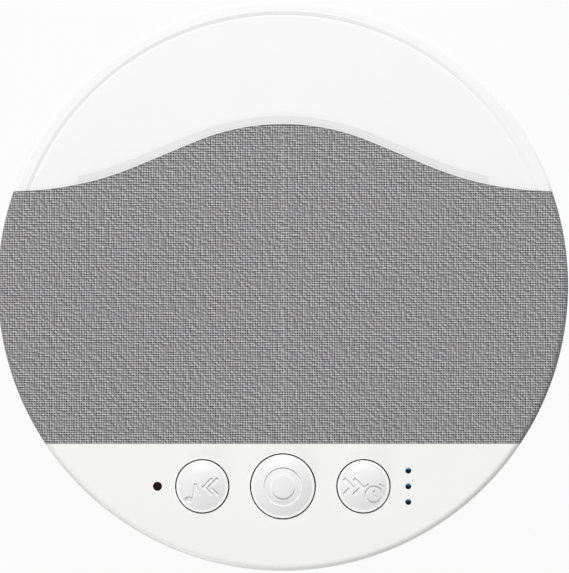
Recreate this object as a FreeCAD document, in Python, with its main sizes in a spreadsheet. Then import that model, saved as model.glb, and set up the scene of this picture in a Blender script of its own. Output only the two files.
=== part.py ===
import FreeCAD, Part
import math
import os
import re
import Sketcher

# White noise machine: a round, flat bedside speaker that lies on four rubber feet.
# Millimetres, +Z up, +Y towards the night light at the rear, -Y towards the buttons.
# The origin is the middle of the foot plane.

os.makedirs("parts", exist_ok=True)
doc = FreeCAD.newDocument("white_noise_machine")
sheet = doc.addObject("Spreadsheet::Sheet", "Sizes")
size_names = []
nodes = []


def sized(text):
    """Point each size name in an expression at its cell, and write out the places that follow from sizes."""
    def cell(word):
        if word[0] in follows:
            return sized(follows[word[0]])
        return "Sizes." * (word[0] in size_names) + word[0]
    return re.sub(r"[a-z_]+", cell, str(text))


def number(text):
    """Work an expression out to a plain number."""
    return float(sheet.evalExpression(sized(text)))


def node(piece):
    """List a finished piece: its label is its name in the assembly."""
    nodes.append(piece)
    return piece


def cylinder(name, radius, bottom, top, x="0", y="0"):
    piece = doc.addObject("Part::Cylinder", name)
    piece.setExpression("Radius", sized(radius))
    piece.setExpression("Height", sized(f"({top}) - ({bottom})"))
    piece.setExpression("Placement.Base.x", sized(x))
    piece.setExpression("Placement.Base.y", sized(y))
    piece.setExpression("Placement.Base.z", sized(bottom))
    return piece


def box(name, x, y, z):
    """A block between the low and high expressions of each direction."""
    piece = doc.addObject("Part::Box", name)
    for side, axis, (low, high) in zip(("Length", "Width", "Height"), "xyz", (x, y, z)):
        piece.setExpression(side, sized(f"({high}) - ({low})"))
        piece.setExpression(f"Placement.Base.{axis}", sized(low))
    return piece


def fuse(name, *pieces):
    piece = doc.addObject("Part::MultiFuse", name)
    piece.Shapes = list(pieces)
    return piece


def common(name, first, second):
    piece = doc.addObject("Part::Common", name)
    piece.Base = first
    piece.Tool = second
    return piece


def cut(name, blank, *tools):
    piece = doc.addObject("Part::Cut", name)
    piece.Base = blank
    piece.Tool = tools[0] if len(tools) == 1 else fuse(f"{name}_tools", *tools)
    return piece


def group(name, pieces):
    """Like pieces that lie apart, kept as separate solids of one node."""
    piece = doc.addObject("Part::Compound", name)
    piece.Links = list(pieces)
    return piece


def new_sketch(body, plane, height="0"):
    sketch = body.newObject("Sketcher::SketchObject", f"{body.Name}_outline")
    support = [item for item in body.Origin.OriginFeatures if item.Role == plane][0]
    sketch.AttachmentSupport = (support, [""])
    sketch.MapMode = "FlatFace"
    sketch.setExpression("AttachmentOffset.Base.z", sized(height))
    return sketch


def arc_through(start, end, radius):
    """The short arc between two points: its centre is on the left if the radius is positive."""
    chord = end - start
    middle = (start + end) * 0.5
    left = FreeCAD.Vector(-chord.y, chord.x, 0).normalize()
    rise = math.sqrt(max(radius**2 - (chord.Length / 2) ** 2, 0))
    centre = middle + left * math.copysign(rise, radius)
    return Part.Arc(start, centre - left * radius, end)


def draw_outline(sketch, corners):
    """A closed outline. A third entry is the radius of the arc that leaves a corner, minus if clockwise."""
    points = [FreeCAD.Vector(number(corner[0]), number(corner[1]), 0) for corner in corners]
    ends = []
    for place, corner in enumerate(corners):
        start, end = points[place], points[(place + 1) % len(points)]
        if len(corner) == 2:
            edge = sketch.addGeometry(Part.LineSegment(start, end), False)
            ends.append((edge, 1, 2))
            continue
        clockwise = corner[2].startswith("-")
        first, last = (end, start) if clockwise else (start, end)
        radius = corner[2].lstrip("-")
        edge = sketch.addGeometry(arc_through(first, last, number(radius)), False)
        ends.append((edge, 2, 1) if clockwise else (edge, 1, 2))
        rule = sketch.addConstraint(Sketcher.Constraint("Radius", edge, number(radius)))
        sketch.setExpression(f"Constraints[{rule}]", sized(radius))
    for place, (edge, head, tail) in enumerate(ends):
        following = ends[(place + 1) % len(ends)]
        sketch.addConstraint(Sketcher.Constraint("Coincident", edge, tail, following[0], following[1]))
        for kind, text in zip(("DistanceX", "DistanceY"), corners[place][:2]):
            rule = sketch.addConstraint(Sketcher.Constraint(kind, -1, 1, edge, head, number(text)))
            sketch.setExpression(f"Constraints[{rule}]", sized(text))


def turned(name, profile):
    """A round piece, turned about the vertical axis from its half section."""
    body = doc.addObject("PartDesign::Body", name)
    sketch = new_sketch(body, "XZ_Plane")
    draw_outline(sketch, profile)
    doc.recompute()
    turn = body.newObject("PartDesign::Revolution", f"{name}_turn")
    turn.Profile = (sketch, [""])
    turn.ReferenceAxis = (sketch, ["V_Axis"])
    turn.Angle = 360
    return body


def plate(name, corners, bottom, top):
    """A flat piece, padded up from its outline."""
    body = doc.addObject("PartDesign::Body", name)
    sketch = new_sketch(body, "XY_Plane", bottom)
    draw_outline(sketch, corners)
    doc.recompute()
    pad = body.newObject("PartDesign::Pad", f"{name}_pad")
    pad.Profile = (sketch, [""])
    pad.setExpression("Length", sized(f"({top}) - ({bottom})"))
    return body


def moved(name, piece, x="0", y="0"):
    """A copy of a piece that was drawn on the origin's axis."""
    copy = doc.addObject("Part::Compound", name)
    copy.Links = [piece]
    copy.setExpression("Placement.Base.x", sized(x))
    copy.setExpression("Placement.Base.y", sized(y))
    return copy


def tube(label, radius, points, bend):
    """A wire along straight runs joined by arcs, from points given as expressions."""
    route = [FreeCAD.Vector(*(number(part) for part in point)) for point in points]
    edges = []
    start = route[0]
    for before, corner, after in zip(route, route[1:], route[2:]):
        arriving = (corner - before).normalize()
        leaving = (after - corner).normalize()
        turn = arriving.getAngle(leaving)
        reach = number(bend) * math.tan(turn / 2)
        into_bend = corner - arriving * reach
        out_of_bend = corner + leaving * reach
        toward_centre = (leaving - arriving).normalize()
        depth = number(bend) * (1 / math.cos(turn / 2) - 1)
        edges.append(Part.LineSegment(start, into_bend).toShape())
        edges.append(Part.Arc(into_bend, corner + toward_centre * depth, out_of_bend).toShape())
        start = out_of_bend
    edges.append(Part.LineSegment(start, route[-1]).toShape())
    circle = Part.Circle(route[0], route[1] - route[0], number(radius)).toShape()
    piece = doc.addObject("Part::Feature", label)
    piece.Shape = Part.Wire(edges).makePipeShell([Part.Wire([circle])], True, False)
    return piece


# The round case: everything outside is measured from these.
case_sizes = {
    "outer_radius": 60,
    "case_height": 46,
    "foot_lift": 1,
    "base_corner": 7,
    "parting_height": 19,
    "parting_gap": 0.4,
    "edge_round": 1.5,
    "wall": 2.2,
    "fit_gap": 0.15,
    "seam_gap": 0.2,
    "spigot_depth": 2.5,
    "inner_corner": 4,
}

# The wave between cloth and night light: a crown, two straight flanks and two troughs.
wave_sizes = {
    "crest_reach": 33.75,
    "trough_reach": 19.65,
    "crown_radius": 47.2,
    "trough_radius": 67.3,
    "wave_angle": 22.6,
}

# The woven cover over its perforated plate.
cover_sizes = {
    "cloth_thickness": 0.65,
    "grille_thickness": 1.65,
    "grille_hole_radius": 1.8,
    "grille_hole_pitch": 5.5,
}

# The night light: a milky cover with a raised rim, and a light strip along the wave.
light_sizes = {
    "lamp_room_depth": 5.7,
    "lens_rim_width": 2.8,
    "lens_rim_step": 0.15,
    "lens_edge_round": 0.8,
    "strip_inset": 0.25,
    "strip_width": 1.35,
    "strip_reach": 43,
    "strip_depth": 1.2,
}

# Circuit boards and what stands on them.
board_sizes = {
    "board_thickness": 1.6,
    "board_margin": 1,
    "lamp_width": 3.5,
    "lamp_height": 1.4,
    "lamp_circle": 47,
    "lamp_step_angle": 12,
    "small_screw_radius": 0.85,
    "small_head_radius": 1.9,
    "small_head_height": 1.3,
    "small_screw_depth": 2.6,
    "small_boss_radius": 2.3,
}

# Case screws, driven up through towers in the base that the rubber feet cover.
screw_sizes = {
    "screw_circle": 46.5,
    "screw_angle": 30,
    "tower_radius": 5,
    "tower_height": 16,
    "tower_shoulder": 4,
    "screw_head_radius": 2.8,
    "screw_head_height": 2,
    "screw_radius": 1.45,
    "screw_length": 10,
    "screw_slack": 0.2,
    "boss_radius": 4,
    "foot_radius": 6,
    "foot_height": 1.8,
}

# The three push buttons in the control panel.
button_sizes = {
    "button_inset": 17.9,
    "panel_web": 1.1,
    "flange_gap": 0.25,
    "stem_length": 3.1,
    "button_spacing": 16.9,
    "power_cap_radius": 6.65,
    "side_cap_radius": 5.43,
    "button_gap": 0.3,
    "cap_rim_height": 0.4,
    "cap_rim_width": 0.42,
    "cap_rim_round": 0.1,
    "cap_dome_ratio": 2.7,
    "flange_width": 0.9,
    "flange_thickness": 0.8,
    "stop_gap": 0.1,
    "stem_radius": 1.8,
    "button_travel": 0.5,
    "ring_inner_radius": 2.35,
    "ring_outer_radius": 4.05,
    "ring_depth": 0.3,
}

# The control board with its switches and lamps.
control_sizes = {
    "charge_light_spacing": 3.97,
    "timer_light_spacing": 3.97,
    "control_screw_x": 8.9,
    "control_screw_y": 4.4,
    "switch_width": 6,
    "switch_height": 3.8,
    "plunger_radius": 1.7,
    "plunger_rise": 1,
    "plunger_depth": 1.2,
    "charge_light_radius": 0.95,
    "timer_light_radius": 0.63,
    "timer_light_pitch": 3.28,
    "light_pipe_collar": 0.7,
    "lamp_chip": 1,
    "lamp_chip_height": 0.8,
    "lamp_gap": 0.3,
}

# The loudspeaker, hung under the deck.
speaker_sizes = {
    "speaker_opening": 24,
    "gasket_thickness": 0.8,
    "gasket_width": 1.6,
    "rim_thickness": 1,
    "rim_overlap": 6,
    "rim_lip": 1.8,
    "speaker_screw_margin": 3.9,
    "speaker_boss_radius": 2,
    "basket_foot_radius": 14.5,
    "motor_bottom": 12,
    "yoke_thickness": 2.5,
    "magnet_thickness": 7,
    "top_plate_thickness": 2.5,
    "magnet_radius": 16,
    "magnet_bore": 9,
    "pole_radius": 6,
    "coil_radius": 6.3,
    "coil_wall": 0.4,
    "coil_gap": 0.3,
    "coil_length": 12,
    "paper_thickness": 0.5,
    "surround_width": 6.4,
    "cone_lip": 1.5,
    "roll_half_width": 1.8,
    "roll_radius": 2.2,
    "dust_cap_radius": 8.5,
    "dust_cap_rise": 2.4,
    "spider_radius": 16.6,
    "spider_wave": 0.8,
    "basket_rib": 11,
}

# The battery, the main board and the charging port in the base.
base_sizes = {
    "port_battery_gap": 2.45,
    "main_board_gap": 2.9,
    "battery_radius": 9.15,
    "battery_length": 65,
    "battery_button": 0.8,
    "battery_gap": 0.3,
    "saddle_thickness": 2,
    "saddle_spread": 20,
    "saddle_height": 6,
    "main_board_height": 5,
    "main_board_x": 30,
    "main_board_back": 20,
    "main_screw_inset": 3,
    "port_width": 9,
    "port_height": 3.3,
    "port_depth": 7.4,
    "port_metal": 0.3,
    "port_axis_height": 9.5,
    "port_inset": 0.9,
    "port_clearance": 0.3,
    "port_board_width": 17,
    "port_board_depth": 11.2,
    "tongue_width": 6.7,
    "tongue_thickness": 0.7,
    "chip_width": 7,
    "amplifier_width": 5.6,
    "chip_height": 1.2,
    "chip_spacing": 14,
    "capacitor_radius": 3,
    "capacitor_height": 8,
    "capacitor_x": 15,
    "connector_width": 6,
    "connector_depth": 4,
    "connector_height": 4,
    "connector_pitch": 9,
}

# Leads and the flat cable between the boards, and what their ends are soldered to.
lead_sizes = {
    "lead_radius": 0.65,
    "lead_bend": 2.4,
    "lead_gap": 0.25,
    "lead_reach": 2.6,
    "contact_width": 6,
    "contact_thickness": 0.3,
    "terminal_width": 5,
    "terminal_depth": 3,
    "terminal_height": 1.5,
    "lead_hole": 1.8,
    "ribbon_width": 10,
    "ribbon_thickness": 0.4,
    "lead_rise": 2.7,
    "light_lead_reach": 37,
}

for group_of_sizes in (
    case_sizes, wave_sizes, cover_sizes, light_sizes, board_sizes, screw_sizes, button_sizes, control_sizes,
    speaker_sizes, base_sizes, lead_sizes,
):
    for size_name, size in group_of_sizes.items():
        size_names.append(size_name)
        row = len(size_names)
        sheet.set(f"A{row}", size_name)
        sheet.set(f"B{row}", str(size))
        sheet.setAlias(f"B{row}", size_name)
doc.recompute()

# Places that follow from the sizes: rows, edges and heights that move with the pieces beside them.
follows = {
    "button_reach": "(outer_radius - button_inset)",
    "panel_reach": "(button_reach - power_cap_radius - flange_width - flange_gap - panel_web)",
    "shelf_height": "(case_height - cloth_thickness - grille_thickness - lamp_room_depth)",
    "stem_bottom": "(case_height - wall - stop_gap - flange_thickness - stem_length)",
    "control_board_height": "(stem_bottom - plunger_rise - switch_height - board_thickness)",
    "control_board_front": "(button_reach + control_screw_y + small_head_radius)",
    "control_board_reach": "sqrt((outer_radius - wall - board_margin) ^ 2 - control_board_front ^ 2)",
    "charge_light_x": "(button_spacing + side_cap_radius + charge_light_spacing)",
    "timer_light_x": "(button_spacing + side_cap_radius + timer_light_spacing)",
    "port_board_front": "(outer_radius - wall - board_margin - port_board_depth)",
    "battery_reach": "(port_board_front - port_battery_gap - battery_radius)",
    "main_board_front": "sqrt((outer_radius - wall - main_board_gap) ^ 2 - main_board_x ^ 2)",
    "rim_radius": "(speaker_opening + rim_overlap)",
    "rim_mouth": "(speaker_opening - rim_lip)",
    "speaker_screw_circle": "(speaker_opening + speaker_screw_margin)",
    "cone_radius": "(speaker_opening - surround_width)",
    "gap_reach": "((magnet_radius + battery_reach - battery_radius) / 2)",
}

# Heights and radii that several pieces share.
skin_inner = "(outer_radius - wall)"
core_outer = "(outer_radius - wall - fit_gap)"
core_inner = "(outer_radius - 2 * wall - fit_gap)"
skirt_bottom = "(parting_height + parting_gap)"
deck_top = "(case_height - cloth_thickness - grille_thickness)"
deck_bottom = "(case_height - cloth_thickness - grille_thickness - wall)"
panel_bottom = "(case_height - wall)"
shelf_bottom = "(shelf_height - wall)"
floor_top = "(foot_lift + wall)"
beyond = "(outer_radius + wall)"
above = "(case_height + wall)"


def wave_corners(offset):
    """The wave from left to right, moved towards the rear by an offset."""
    crown = f"(crown_radius + {offset})"
    trough = f"(trough_radius - {offset})"
    radii = "(crown_radius + trough_radius)"
    drop = f"(crest_reach - trough_reach - {radii} * (1 - cos(wave_angle)))"
    trough_x = f"({radii} * sin(wave_angle) + {drop} / tan(wave_angle))"
    crown_x = f"({crown} * sin(wave_angle))"
    crown_y = f"(crest_reach - crown_radius + {crown} * cos(wave_angle))"
    flank_x = f"({trough_x} - {trough} * sin(wave_angle))"
    flank_y = f"(trough_reach + trough_radius - {trough} * cos(wave_angle))"
    trough_y = f"(trough_reach + {offset})"
    return [
        (f"-{trough_x}", trough_y, trough),
        (f"-{flank_x}", flank_y),
        (f"-{crown_x}", crown_y, f"-{crown}"),
        (crown_x, crown_y),
        (flank_x, flank_y, trough),
        (trough_x, trough_y),
    ]


def behind_wave(name, offset, bottom, top):
    """All the space to the rear of the wave, between two heights."""
    far = f"({beyond} + trough_radius)"
    level = f"(trough_reach + {offset})"
    corners = [(f"-{far}", level)] + wave_corners(offset) + [(far, level), (far, far), (f"-{far}", far)]
    return plate(name, corners, bottom, top)


def in_front_of(name, reach, bottom, top):
    """All the space to the front of a straight line across the case."""
    return box(name, (f"-{beyond}", beyond), (f"-{beyond}", f"-({reach})"), (bottom, top))


def envelope(name, inset, edge, bottom):
    """The outside of the case above a height, drawn in by an inset."""
    side = f"(outer_radius - {inset})"
    lid = f"(case_height - {inset})"
    return turned(name, [
        ("0", bottom),
        (side, bottom),
        (side, f"{lid} - {edge}", edge),
        (f"{side} - {edge}", lid),
        ("0", lid),
    ])


def corner_places(circle, angle):
    """Four places, one in each quarter, as expressions."""
    x = f"{circle} * cos({angle})"
    y = f"{circle} * sin({angle})"
    return [(x, y), (f"-{x}", y), (f"-{x}", f"-{y}"), (x, f"-{y}")]


def at_places(name, places, radius, bottom, top):
    """One upright cylinder at each place."""
    return [cylinder(f"{name}_{count}", radius, bottom, top, x, y) for count, (x, y) in enumerate(places, 1)]


screw_places = corner_places("screw_circle", "screw_angle")
speaker_screw_places = corner_places("speaker_screw_circle", "45")
button_places = {"previous": "-button_spacing", "power": "0", "next": "button_spacing"}
button_radii = {"previous": "side_cap_radius", "power": "power_cap_radius", "next": "side_cap_radius"}
control_screw_places = [
    (f"{side}control_screw_x", f"-button_reach {row} control_screw_y") for side in ("", "-") for row in "+-"
]
main_screw_places = [
    (f"{side}(main_board_x - main_screw_inset)", f"-({edge})")
    for side in ("", "-")
    for edge in ("main_board_front - main_screw_inset", "main_board_back + main_screw_inset")
]
port_mouth = "(outer_radius - port_inset)"
port_board_top = "(port_axis_height - port_height / 2)"
port_board_bottom = f"({port_board_top} - board_thickness)"
port_board_back = f"({skin_inner} - board_margin)"
port_screw_y = "(port_board_front + board_margin + small_head_radius)"
port_screw_x = "(port_board_width / 2 - board_margin - small_head_radius)"
port_screw_places = [(port_screw_x, port_screw_y), (f"-{port_screw_x}", port_screw_y)]
battery_axis = f"({floor_top} + battery_gap + battery_radius)"

# Base shell: a shallow moulded tray with screw towers, board posts, battery saddles and the port's cut-out.
tray = turned("tray", [
    ("0", "foot_lift"),
    ("outer_radius - base_corner", "foot_lift", "base_corner"),
    ("outer_radius", "foot_lift + base_corner"),
    ("outer_radius", "parting_height"),
    (skin_inner, "parting_height"),
    (skin_inner, f"{floor_top} + inner_corner", "-inner_corner"),
    (f"{skin_inner} - inner_corner", floor_top),
    ("0", floor_top),
])
inside_floor = f"{floor_top} - wall / 2"
towers = at_places("tower", screw_places, "tower_radius", inside_floor, "tower_height")
main_posts = at_places("main_post", main_screw_places, "small_boss_radius", inside_floor, "main_board_height")
port_posts = at_places("port_post", port_screw_places, "small_boss_radius", inside_floor, port_board_bottom)
saddle_blocks = [
    box(
        f"saddle_block_{count}",
        (f"{side}saddle_spread - saddle_thickness / 2", f"{side}saddle_spread + saddle_thickness / 2"),
        ("battery_reach - battery_radius", "battery_reach + battery_radius"),
        (inside_floor, f"{floor_top} + saddle_height"),
    )
    for count, side in enumerate(("", "-"), 1)
]


def along_x(name, radius, low, high, y, z):
    """A cylinder lying along X between two places."""
    piece = cylinder(name, radius, low, high, low, y)
    piece.setExpression("Placement.Base.z", sized(z))
    piece.Placement.Rotation = FreeCAD.Rotation(FreeCAD.Vector(0, 1, 0), 90)
    return piece


battery_room = along_x(
    "battery_room", "battery_radius + battery_gap", "-(battery_length / 2 + battery_gap)",
    "battery_length / 2 + battery_gap", "battery_reach", battery_axis,
)
tray_body = fuse("tray_body", tray, *towers, *main_posts, *port_posts, *saddle_blocks)
tower_top_cut = "tower_height + wall"
shoulder = "(tower_height - tower_shoulder)"
head_wells = at_places("head_well", screw_places, "screw_head_radius + screw_slack", "0", shoulder)
shank_holes = at_places("shank_hole", screw_places, "screw_radius + screw_slack", "0", tower_top_cut)
foot_wells = at_places("foot_well", screw_places, "foot_radius + screw_slack / 2", "0", "foot_height")
post_drill = "small_screw_depth - board_thickness + screw_slack"
main_pilots = at_places(
    "main_pilot", main_screw_places, "small_screw_radius", f"main_board_height - ({post_drill})",
    "main_board_height + wall",
)
port_pilots = at_places(
    "port_pilot", port_screw_places, "small_screw_radius", f"{port_board_bottom} - ({post_drill})",
    f"{port_board_bottom} + wall",
)


def slot_prism(name, width, height, near, far):
    """A round-ended slot on the port's axis, running along Y."""
    body = doc.addObject("PartDesign::Body", name)
    sketch = new_sketch(body, "XZ_Plane", f"-({far})")
    half = f"(({width}) / 2 - ({height}) / 2)"
    radius = f"(({height}) / 2)"
    draw_outline(sketch, [
        (f"-{half}", f"port_axis_height - {radius}"),
        (half, f"port_axis_height - {radius}", radius),
        (f"{half} + {radius}", "port_axis_height", radius),
        (half, f"port_axis_height + {radius}"),
        (f"-{half}", f"port_axis_height + {radius}", radius),
        (f"-({half} + {radius})", "port_axis_height", radius),
    ])
    doc.recompute()
    pad = body.newObject("PartDesign::Pad", f"{name}_pad")
    pad.Profile = (sketch, [""])
    pad.setExpression("Length", sized(f"({far}) - ({near})"))
    return body


port_window = slot_prism(
    "port_window", "port_width + 2 * port_clearance", "port_height + 2 * port_clearance",
    f"{skin_inner} - wall", beyond,
)
node(cut(
    "base_shell", tray_body, battery_room, port_window,
    *head_wells, *shank_holes, *foot_wells, *main_pilots, *port_pilots,
))
node(group("rubber_feet", at_places("foot", screw_places, "foot_radius", "0", "foot_height")))

# Case screws: pan heads under the shoulders of the towers.
case_screws = []
for count, (x, y) in enumerate(screw_places, 1):
    head = cylinder(f"head_{count}", "screw_head_radius", f"{shoulder} - screw_head_height", shoulder, x, y)
    shank = cylinder(f"shank_{count}", "screw_radius", f"{shoulder} - screw_head_height / 2",
                     f"{shoulder} + screw_length", x, y)
    case_screws.append(fuse(f"case_screw_{count}", head, shank))
node(group("case_screws", case_screws))

# Upper housing: the core under cloth and lens, moulded in one with the control panel.
core = cylinder("core", core_outer, "parting_height - spigot_depth", deck_top)
panel_skin = common(
    "panel_skin", envelope("panel_envelope", "0", "edge_round", skirt_bottom),
    in_front_of("panel_side", "panel_reach", "0", above),
)
low_room = cylinder("low_room", core_inner, "0", shelf_bottom)
mid_room = cut(
    "mid_room", cylinder("mid_room_blank", core_inner, f"{shelf_bottom} - wall", deck_bottom),
    behind_wave("wave_wall_front", "(-wall / 2)", "0", above),
)
lamp_room = common(
    "lamp_room", cylinder("lamp_room_blank", core_inner, "shelf_height", above),
    behind_wave("wave_wall_rear", "(wall / 2)", "0", above),
)
panel_room = common(
    "panel_room", cylinder("panel_room_blank", skin_inner, f"{skirt_bottom} + wall", panel_bottom),
    in_front_of("panel_room_side", "panel_reach + panel_web", "0", above),
)
sound_hole = cylinder("sound_hole", "speaker_opening", deck_bottom + " - wall", above)
light_lead_hole = cylinder(
    "light_lead_hole", "lead_hole", "0", "shelf_height", "-connector_pitch", "light_lead_reach",
)
panel_holes = []
for key, x in button_places.items():
    panel_holes.append(cylinder(
        f"{key}_hole", f"{button_radii[key]} + button_gap", "shelf_height", above, x, "-button_reach",
    ))
panel_holes.append(cylinder(
    "charge_light_hole", "charge_light_radius", "shelf_height", above, "-charge_light_x", "-button_reach",
))
for step in (-1, 0, 1):
    panel_holes.append(cylinder(
        f"timer_light_hole_{step + 2}", "timer_light_radius", "shelf_height", above,
        "timer_light_x", f"{step} * timer_light_pitch - button_reach",
    ))
housing_blank = cut(
    "housing_blank", fuse("housing_block", core, panel_skin),
    low_room, mid_room, lamp_room, panel_room, sound_hole, light_lead_hole, *panel_holes,
)
rear_bosses = at_places("rear_boss", screw_places[:2], "boss_radius", "tower_height", "shelf_height - wall / 2")
front_bosses = at_places("front_boss", screw_places[2:], "boss_radius", "tower_height", f"{deck_top} - wall / 2")
control_board_top = "(control_board_height + board_thickness)"
control_bosses = at_places(
    "control_boss", control_screw_places, "small_boss_radius", control_board_top, f"{panel_bottom} + wall / 2",
)
gasket_bottom = f"({deck_bottom} - gasket_thickness)"
speaker_bosses = at_places(
    "speaker_boss", speaker_screw_places, "speaker_boss_radius", gasket_bottom, f"{deck_bottom} + wall / 2",
)
pilots = at_places("pilot", screw_places, "screw_radius", "0", f"{shoulder} + screw_length + screw_slack")
control_pilots = at_places(
    "control_pilot", control_screw_places, "small_screw_radius", "control_board_height",
    f"{control_board_top} + small_screw_depth",
)
speaker_pilots = at_places(
    "speaker_pilot", speaker_screw_places, "small_screw_radius", f"{gasket_bottom} - wall",
    f"{gasket_bottom} + small_screw_depth",
)
node(cut(
    "upper_housing", fuse("housing_with_bosses", housing_blank, *rear_bosses, *front_bosses, *control_bosses,
                          *speaker_bosses),
    *pilots, *control_pilots, *speaker_pilots,
))

# Night light cover: milky acrylic with a raised rim, and the frosted strip let into it along the wave.
lens_side = behind_wave("lens_side", "(seam_gap / 2)", "0", above)
lens_blank = common("lens_blank", envelope("lens_envelope", "0", "lens_edge_round", skirt_bottom), lens_side)
lens_room = cylinder("lens_room", skin_inner, "0", deck_top)
lens_well = cylinder("lens_well", "outer_radius - lens_rim_width", "case_height - lens_rim_step", above)
strip_bottom = "(case_height - lens_rim_step - strip_depth)"
strip_front = "(seam_gap / 2 + strip_inset)"
strip_ends = box(
    "strip_ends", ("-strip_reach", "strip_reach"), ("0", beyond), (strip_bottom, "case_height - lens_rim_step"),
)
strip_band = cut(
    "strip_band", behind_wave("strip_front_side", strip_front, "0", above),
    behind_wave("strip_rear_side", f"({strip_front} + strip_width)", "0", above),
)
strip = node(common("night_light_strip", strip_band, strip_ends))
node(cut("night_light_lens", lens_blank, lens_room, lens_well, strip))

# Night light board on the shelf, with seven lamps on an arc: one in the middle and three each side.
lamps_each_side = 3
light_board_top = "(shelf_height + board_thickness)"
node(common(
    "night_light_board", cylinder("light_board_blank", f"{core_inner} - board_margin", "shelf_height",
                                  light_board_top),
    behind_wave("light_board_side", "(wall / 2 + board_margin)", "0", above),
))
lamps = []
for step in range(-lamps_each_side, lamps_each_side + 1):
    x = f"(lamp_circle * sin({step} * lamp_step_angle))"
    y = f"(lamp_circle * cos({step} * lamp_step_angle))"
    lamps.append(box(
        f"lamp_{step + lamps_each_side + 1}", (f"{x} - lamp_width / 2", f"{x} + lamp_width / 2"),
        (f"{y} - lamp_width / 2", f"{y} + lamp_width / 2"), (light_board_top, f"{light_board_top} + lamp_height"),
    ))
node(group("night_light_lamps", lamps))

# Perforated grille plate with side skirts, and the woven cover glued over it.
inner_envelope = envelope("grille_envelope", "cloth_thickness", "(edge_round - cloth_thickness)", skirt_bottom)
cloth_rear = behind_wave("cloth_rear", "(-seam_gap / 2)", "0", above)
cloth_front = in_front_of("cloth_front", "panel_reach - seam_gap / 2", "0", above)
grille_rings = 4
holes_in_first_ring = 6
grille_holes = [cylinder("grille_hole_centre", "grille_hole_radius", deck_bottom, above)]
for ring in range(1, grille_rings + 1):
    holes_in_ring = holes_in_first_ring * ring
    for count in range(holes_in_ring):
        angle = 360 / holes_in_ring * count
        grille_holes.append(cylinder(
            f"grille_hole_{ring}_{count + 1}", "grille_hole_radius", deck_bottom, above,
            f"{ring} * grille_hole_pitch * cos({angle})", f"{ring} * grille_hole_pitch * sin({angle})",
        ))
skirt_room = cylinder("skirt_room", skin_inner, "0", deck_top)
node(cut("grille_panel", inner_envelope, skirt_room, cloth_rear, cloth_front, *grille_holes))
node(cut(
    "grille_cloth", envelope("cloth_envelope", "0", "edge_round", skirt_bottom), inner_envelope, cloth_rear,
    cloth_front,
))

# Push buttons: a white cap with a flat rim and a domed middle, on a dark carrier, whose flange stops under
# the panel and whose stem stands on its switch. The gap round the cap shows the flange.
flange_top = f"({panel_bottom} - stop_gap)"
flange_bottom = f"({flange_top} - flange_thickness)"
cap_rim_top = "(case_height + cap_rim_height)"
switch_top = f"({control_board_top} + switch_height)"


def dome_height(radius, reach):
    """How high the domed top of a cap is at a distance from its middle."""
    dome = f"(cap_dome_ratio * {radius})"
    foot = f"({radius} - cap_rim_width)"
    return f"({cap_rim_top} + sqrt({dome} ^ 2 - ({reach}) ^ 2) - sqrt({dome} ^ 2 - {foot} ^ 2))"


def cap_profile(radius, ring_edges=()):
    """The half section of a cap, with an engraved ring between two radii where they are given."""
    dome = f"(cap_dome_ratio * {radius})"
    profile = [
        ("0", flange_top),
        (radius, flange_top),
        (radius, f"{cap_rim_top} - cap_rim_round", "cap_rim_round"),
        (f"{radius} - cap_rim_round", cap_rim_top),
        (f"{radius} - cap_rim_width", cap_rim_top, dome),
    ]
    if ring_edges:
        outer, inner = ring_edges
        profile += [
            (outer, dome_height(radius, outer)),
            (outer, f"{dome_height(radius, outer)} - ring_depth"),
            (inner, f"{dome_height(radius, inner)} - ring_depth"),
            (inner, dome_height(radius, inner), dome),
        ]
    return profile + [("0", dome_height(radius, "0"))]


plunger_bottom = f"({switch_top} - plunger_depth)"
switches = []
for key, x in button_places.items():
    ring_edges = ("ring_outer_radius", "ring_inner_radius") if key == "power" else ()
    shape = turned(f"{key}_cap_shape", cap_profile(button_radii[key], ring_edges))
    node(moved(f"{key}_button_cap", shape, x, "-button_reach"))
    flange = f"{button_radii[key]} + flange_width"
    node(fuse(
        f"{key}_button_carrier",
        cylinder(f"{key}_flange", flange, flange_bottom, flange_top, x, "-button_reach"),
        cylinder(f"{key}_stem", "stem_radius", "stem_bottom", f"{flange_bottom} + flange_thickness / 2", x,
                 "-button_reach"),
    ))
    node(cylinder(f"{key}_switch_plunger", "plunger_radius", plunger_bottom, "stem_bottom", x, "-button_reach"))
    case = box(
        f"{key}_switch_case", (f"{x} - switch_width / 2", f"{x} + switch_width / 2"),
        ("-button_reach - switch_width / 2", "-button_reach + switch_width / 2"), (control_board_top, switch_top),
    )
    bore = cylinder(
        f"{key}_switch_bore", "plunger_radius + fit_gap", f"{plunger_bottom} - button_travel - screw_slack",
        above, x, "-button_reach",
    )
    switches.append(cut(f"{key}_switch", case, bore))
node(group("switch_bodies", switches))

# Control board, hung from the panel on four bosses.
control_board_blank = box(
    "control_board_blank", ("-control_board_reach", "control_board_reach"),
    ("-control_board_front", "control_board_front - 2 * button_reach"),
    ("control_board_height", control_board_top),
)
control_board_holes = at_places(
    "control_board_hole", control_screw_places, "small_screw_radius + screw_slack", "0", above,
)
node(cut("control_board", control_board_blank, *control_board_holes))


def small_screws(name, places, seat, direction):
    """Board screws: direction 1 has the heads above the seat, -1 below it."""
    screws = []
    for count, (x, y) in enumerate(places, 1):
        heights = sorted(
            (f"{seat} + {direction} * small_head_height", f"{seat} + {direction} * small_head_height / 2",
             f"{seat} - {direction} * small_screw_depth"), key=number,
        )
        head_ends = (seat, heights[2]) if direction == 1 else (heights[0], seat)
        shank_ends = (heights[0], heights[1]) if direction == 1 else (heights[1], heights[2])
        head = cylinder(f"{name}_head_{count}", "small_head_radius", *head_ends, x, y)
        shank = cylinder(f"{name}_shank_{count}", "small_screw_radius", *shank_ends, x, y)
        screws.append(fuse(f"{name}_{count}", head, shank))
    return screws


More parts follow.
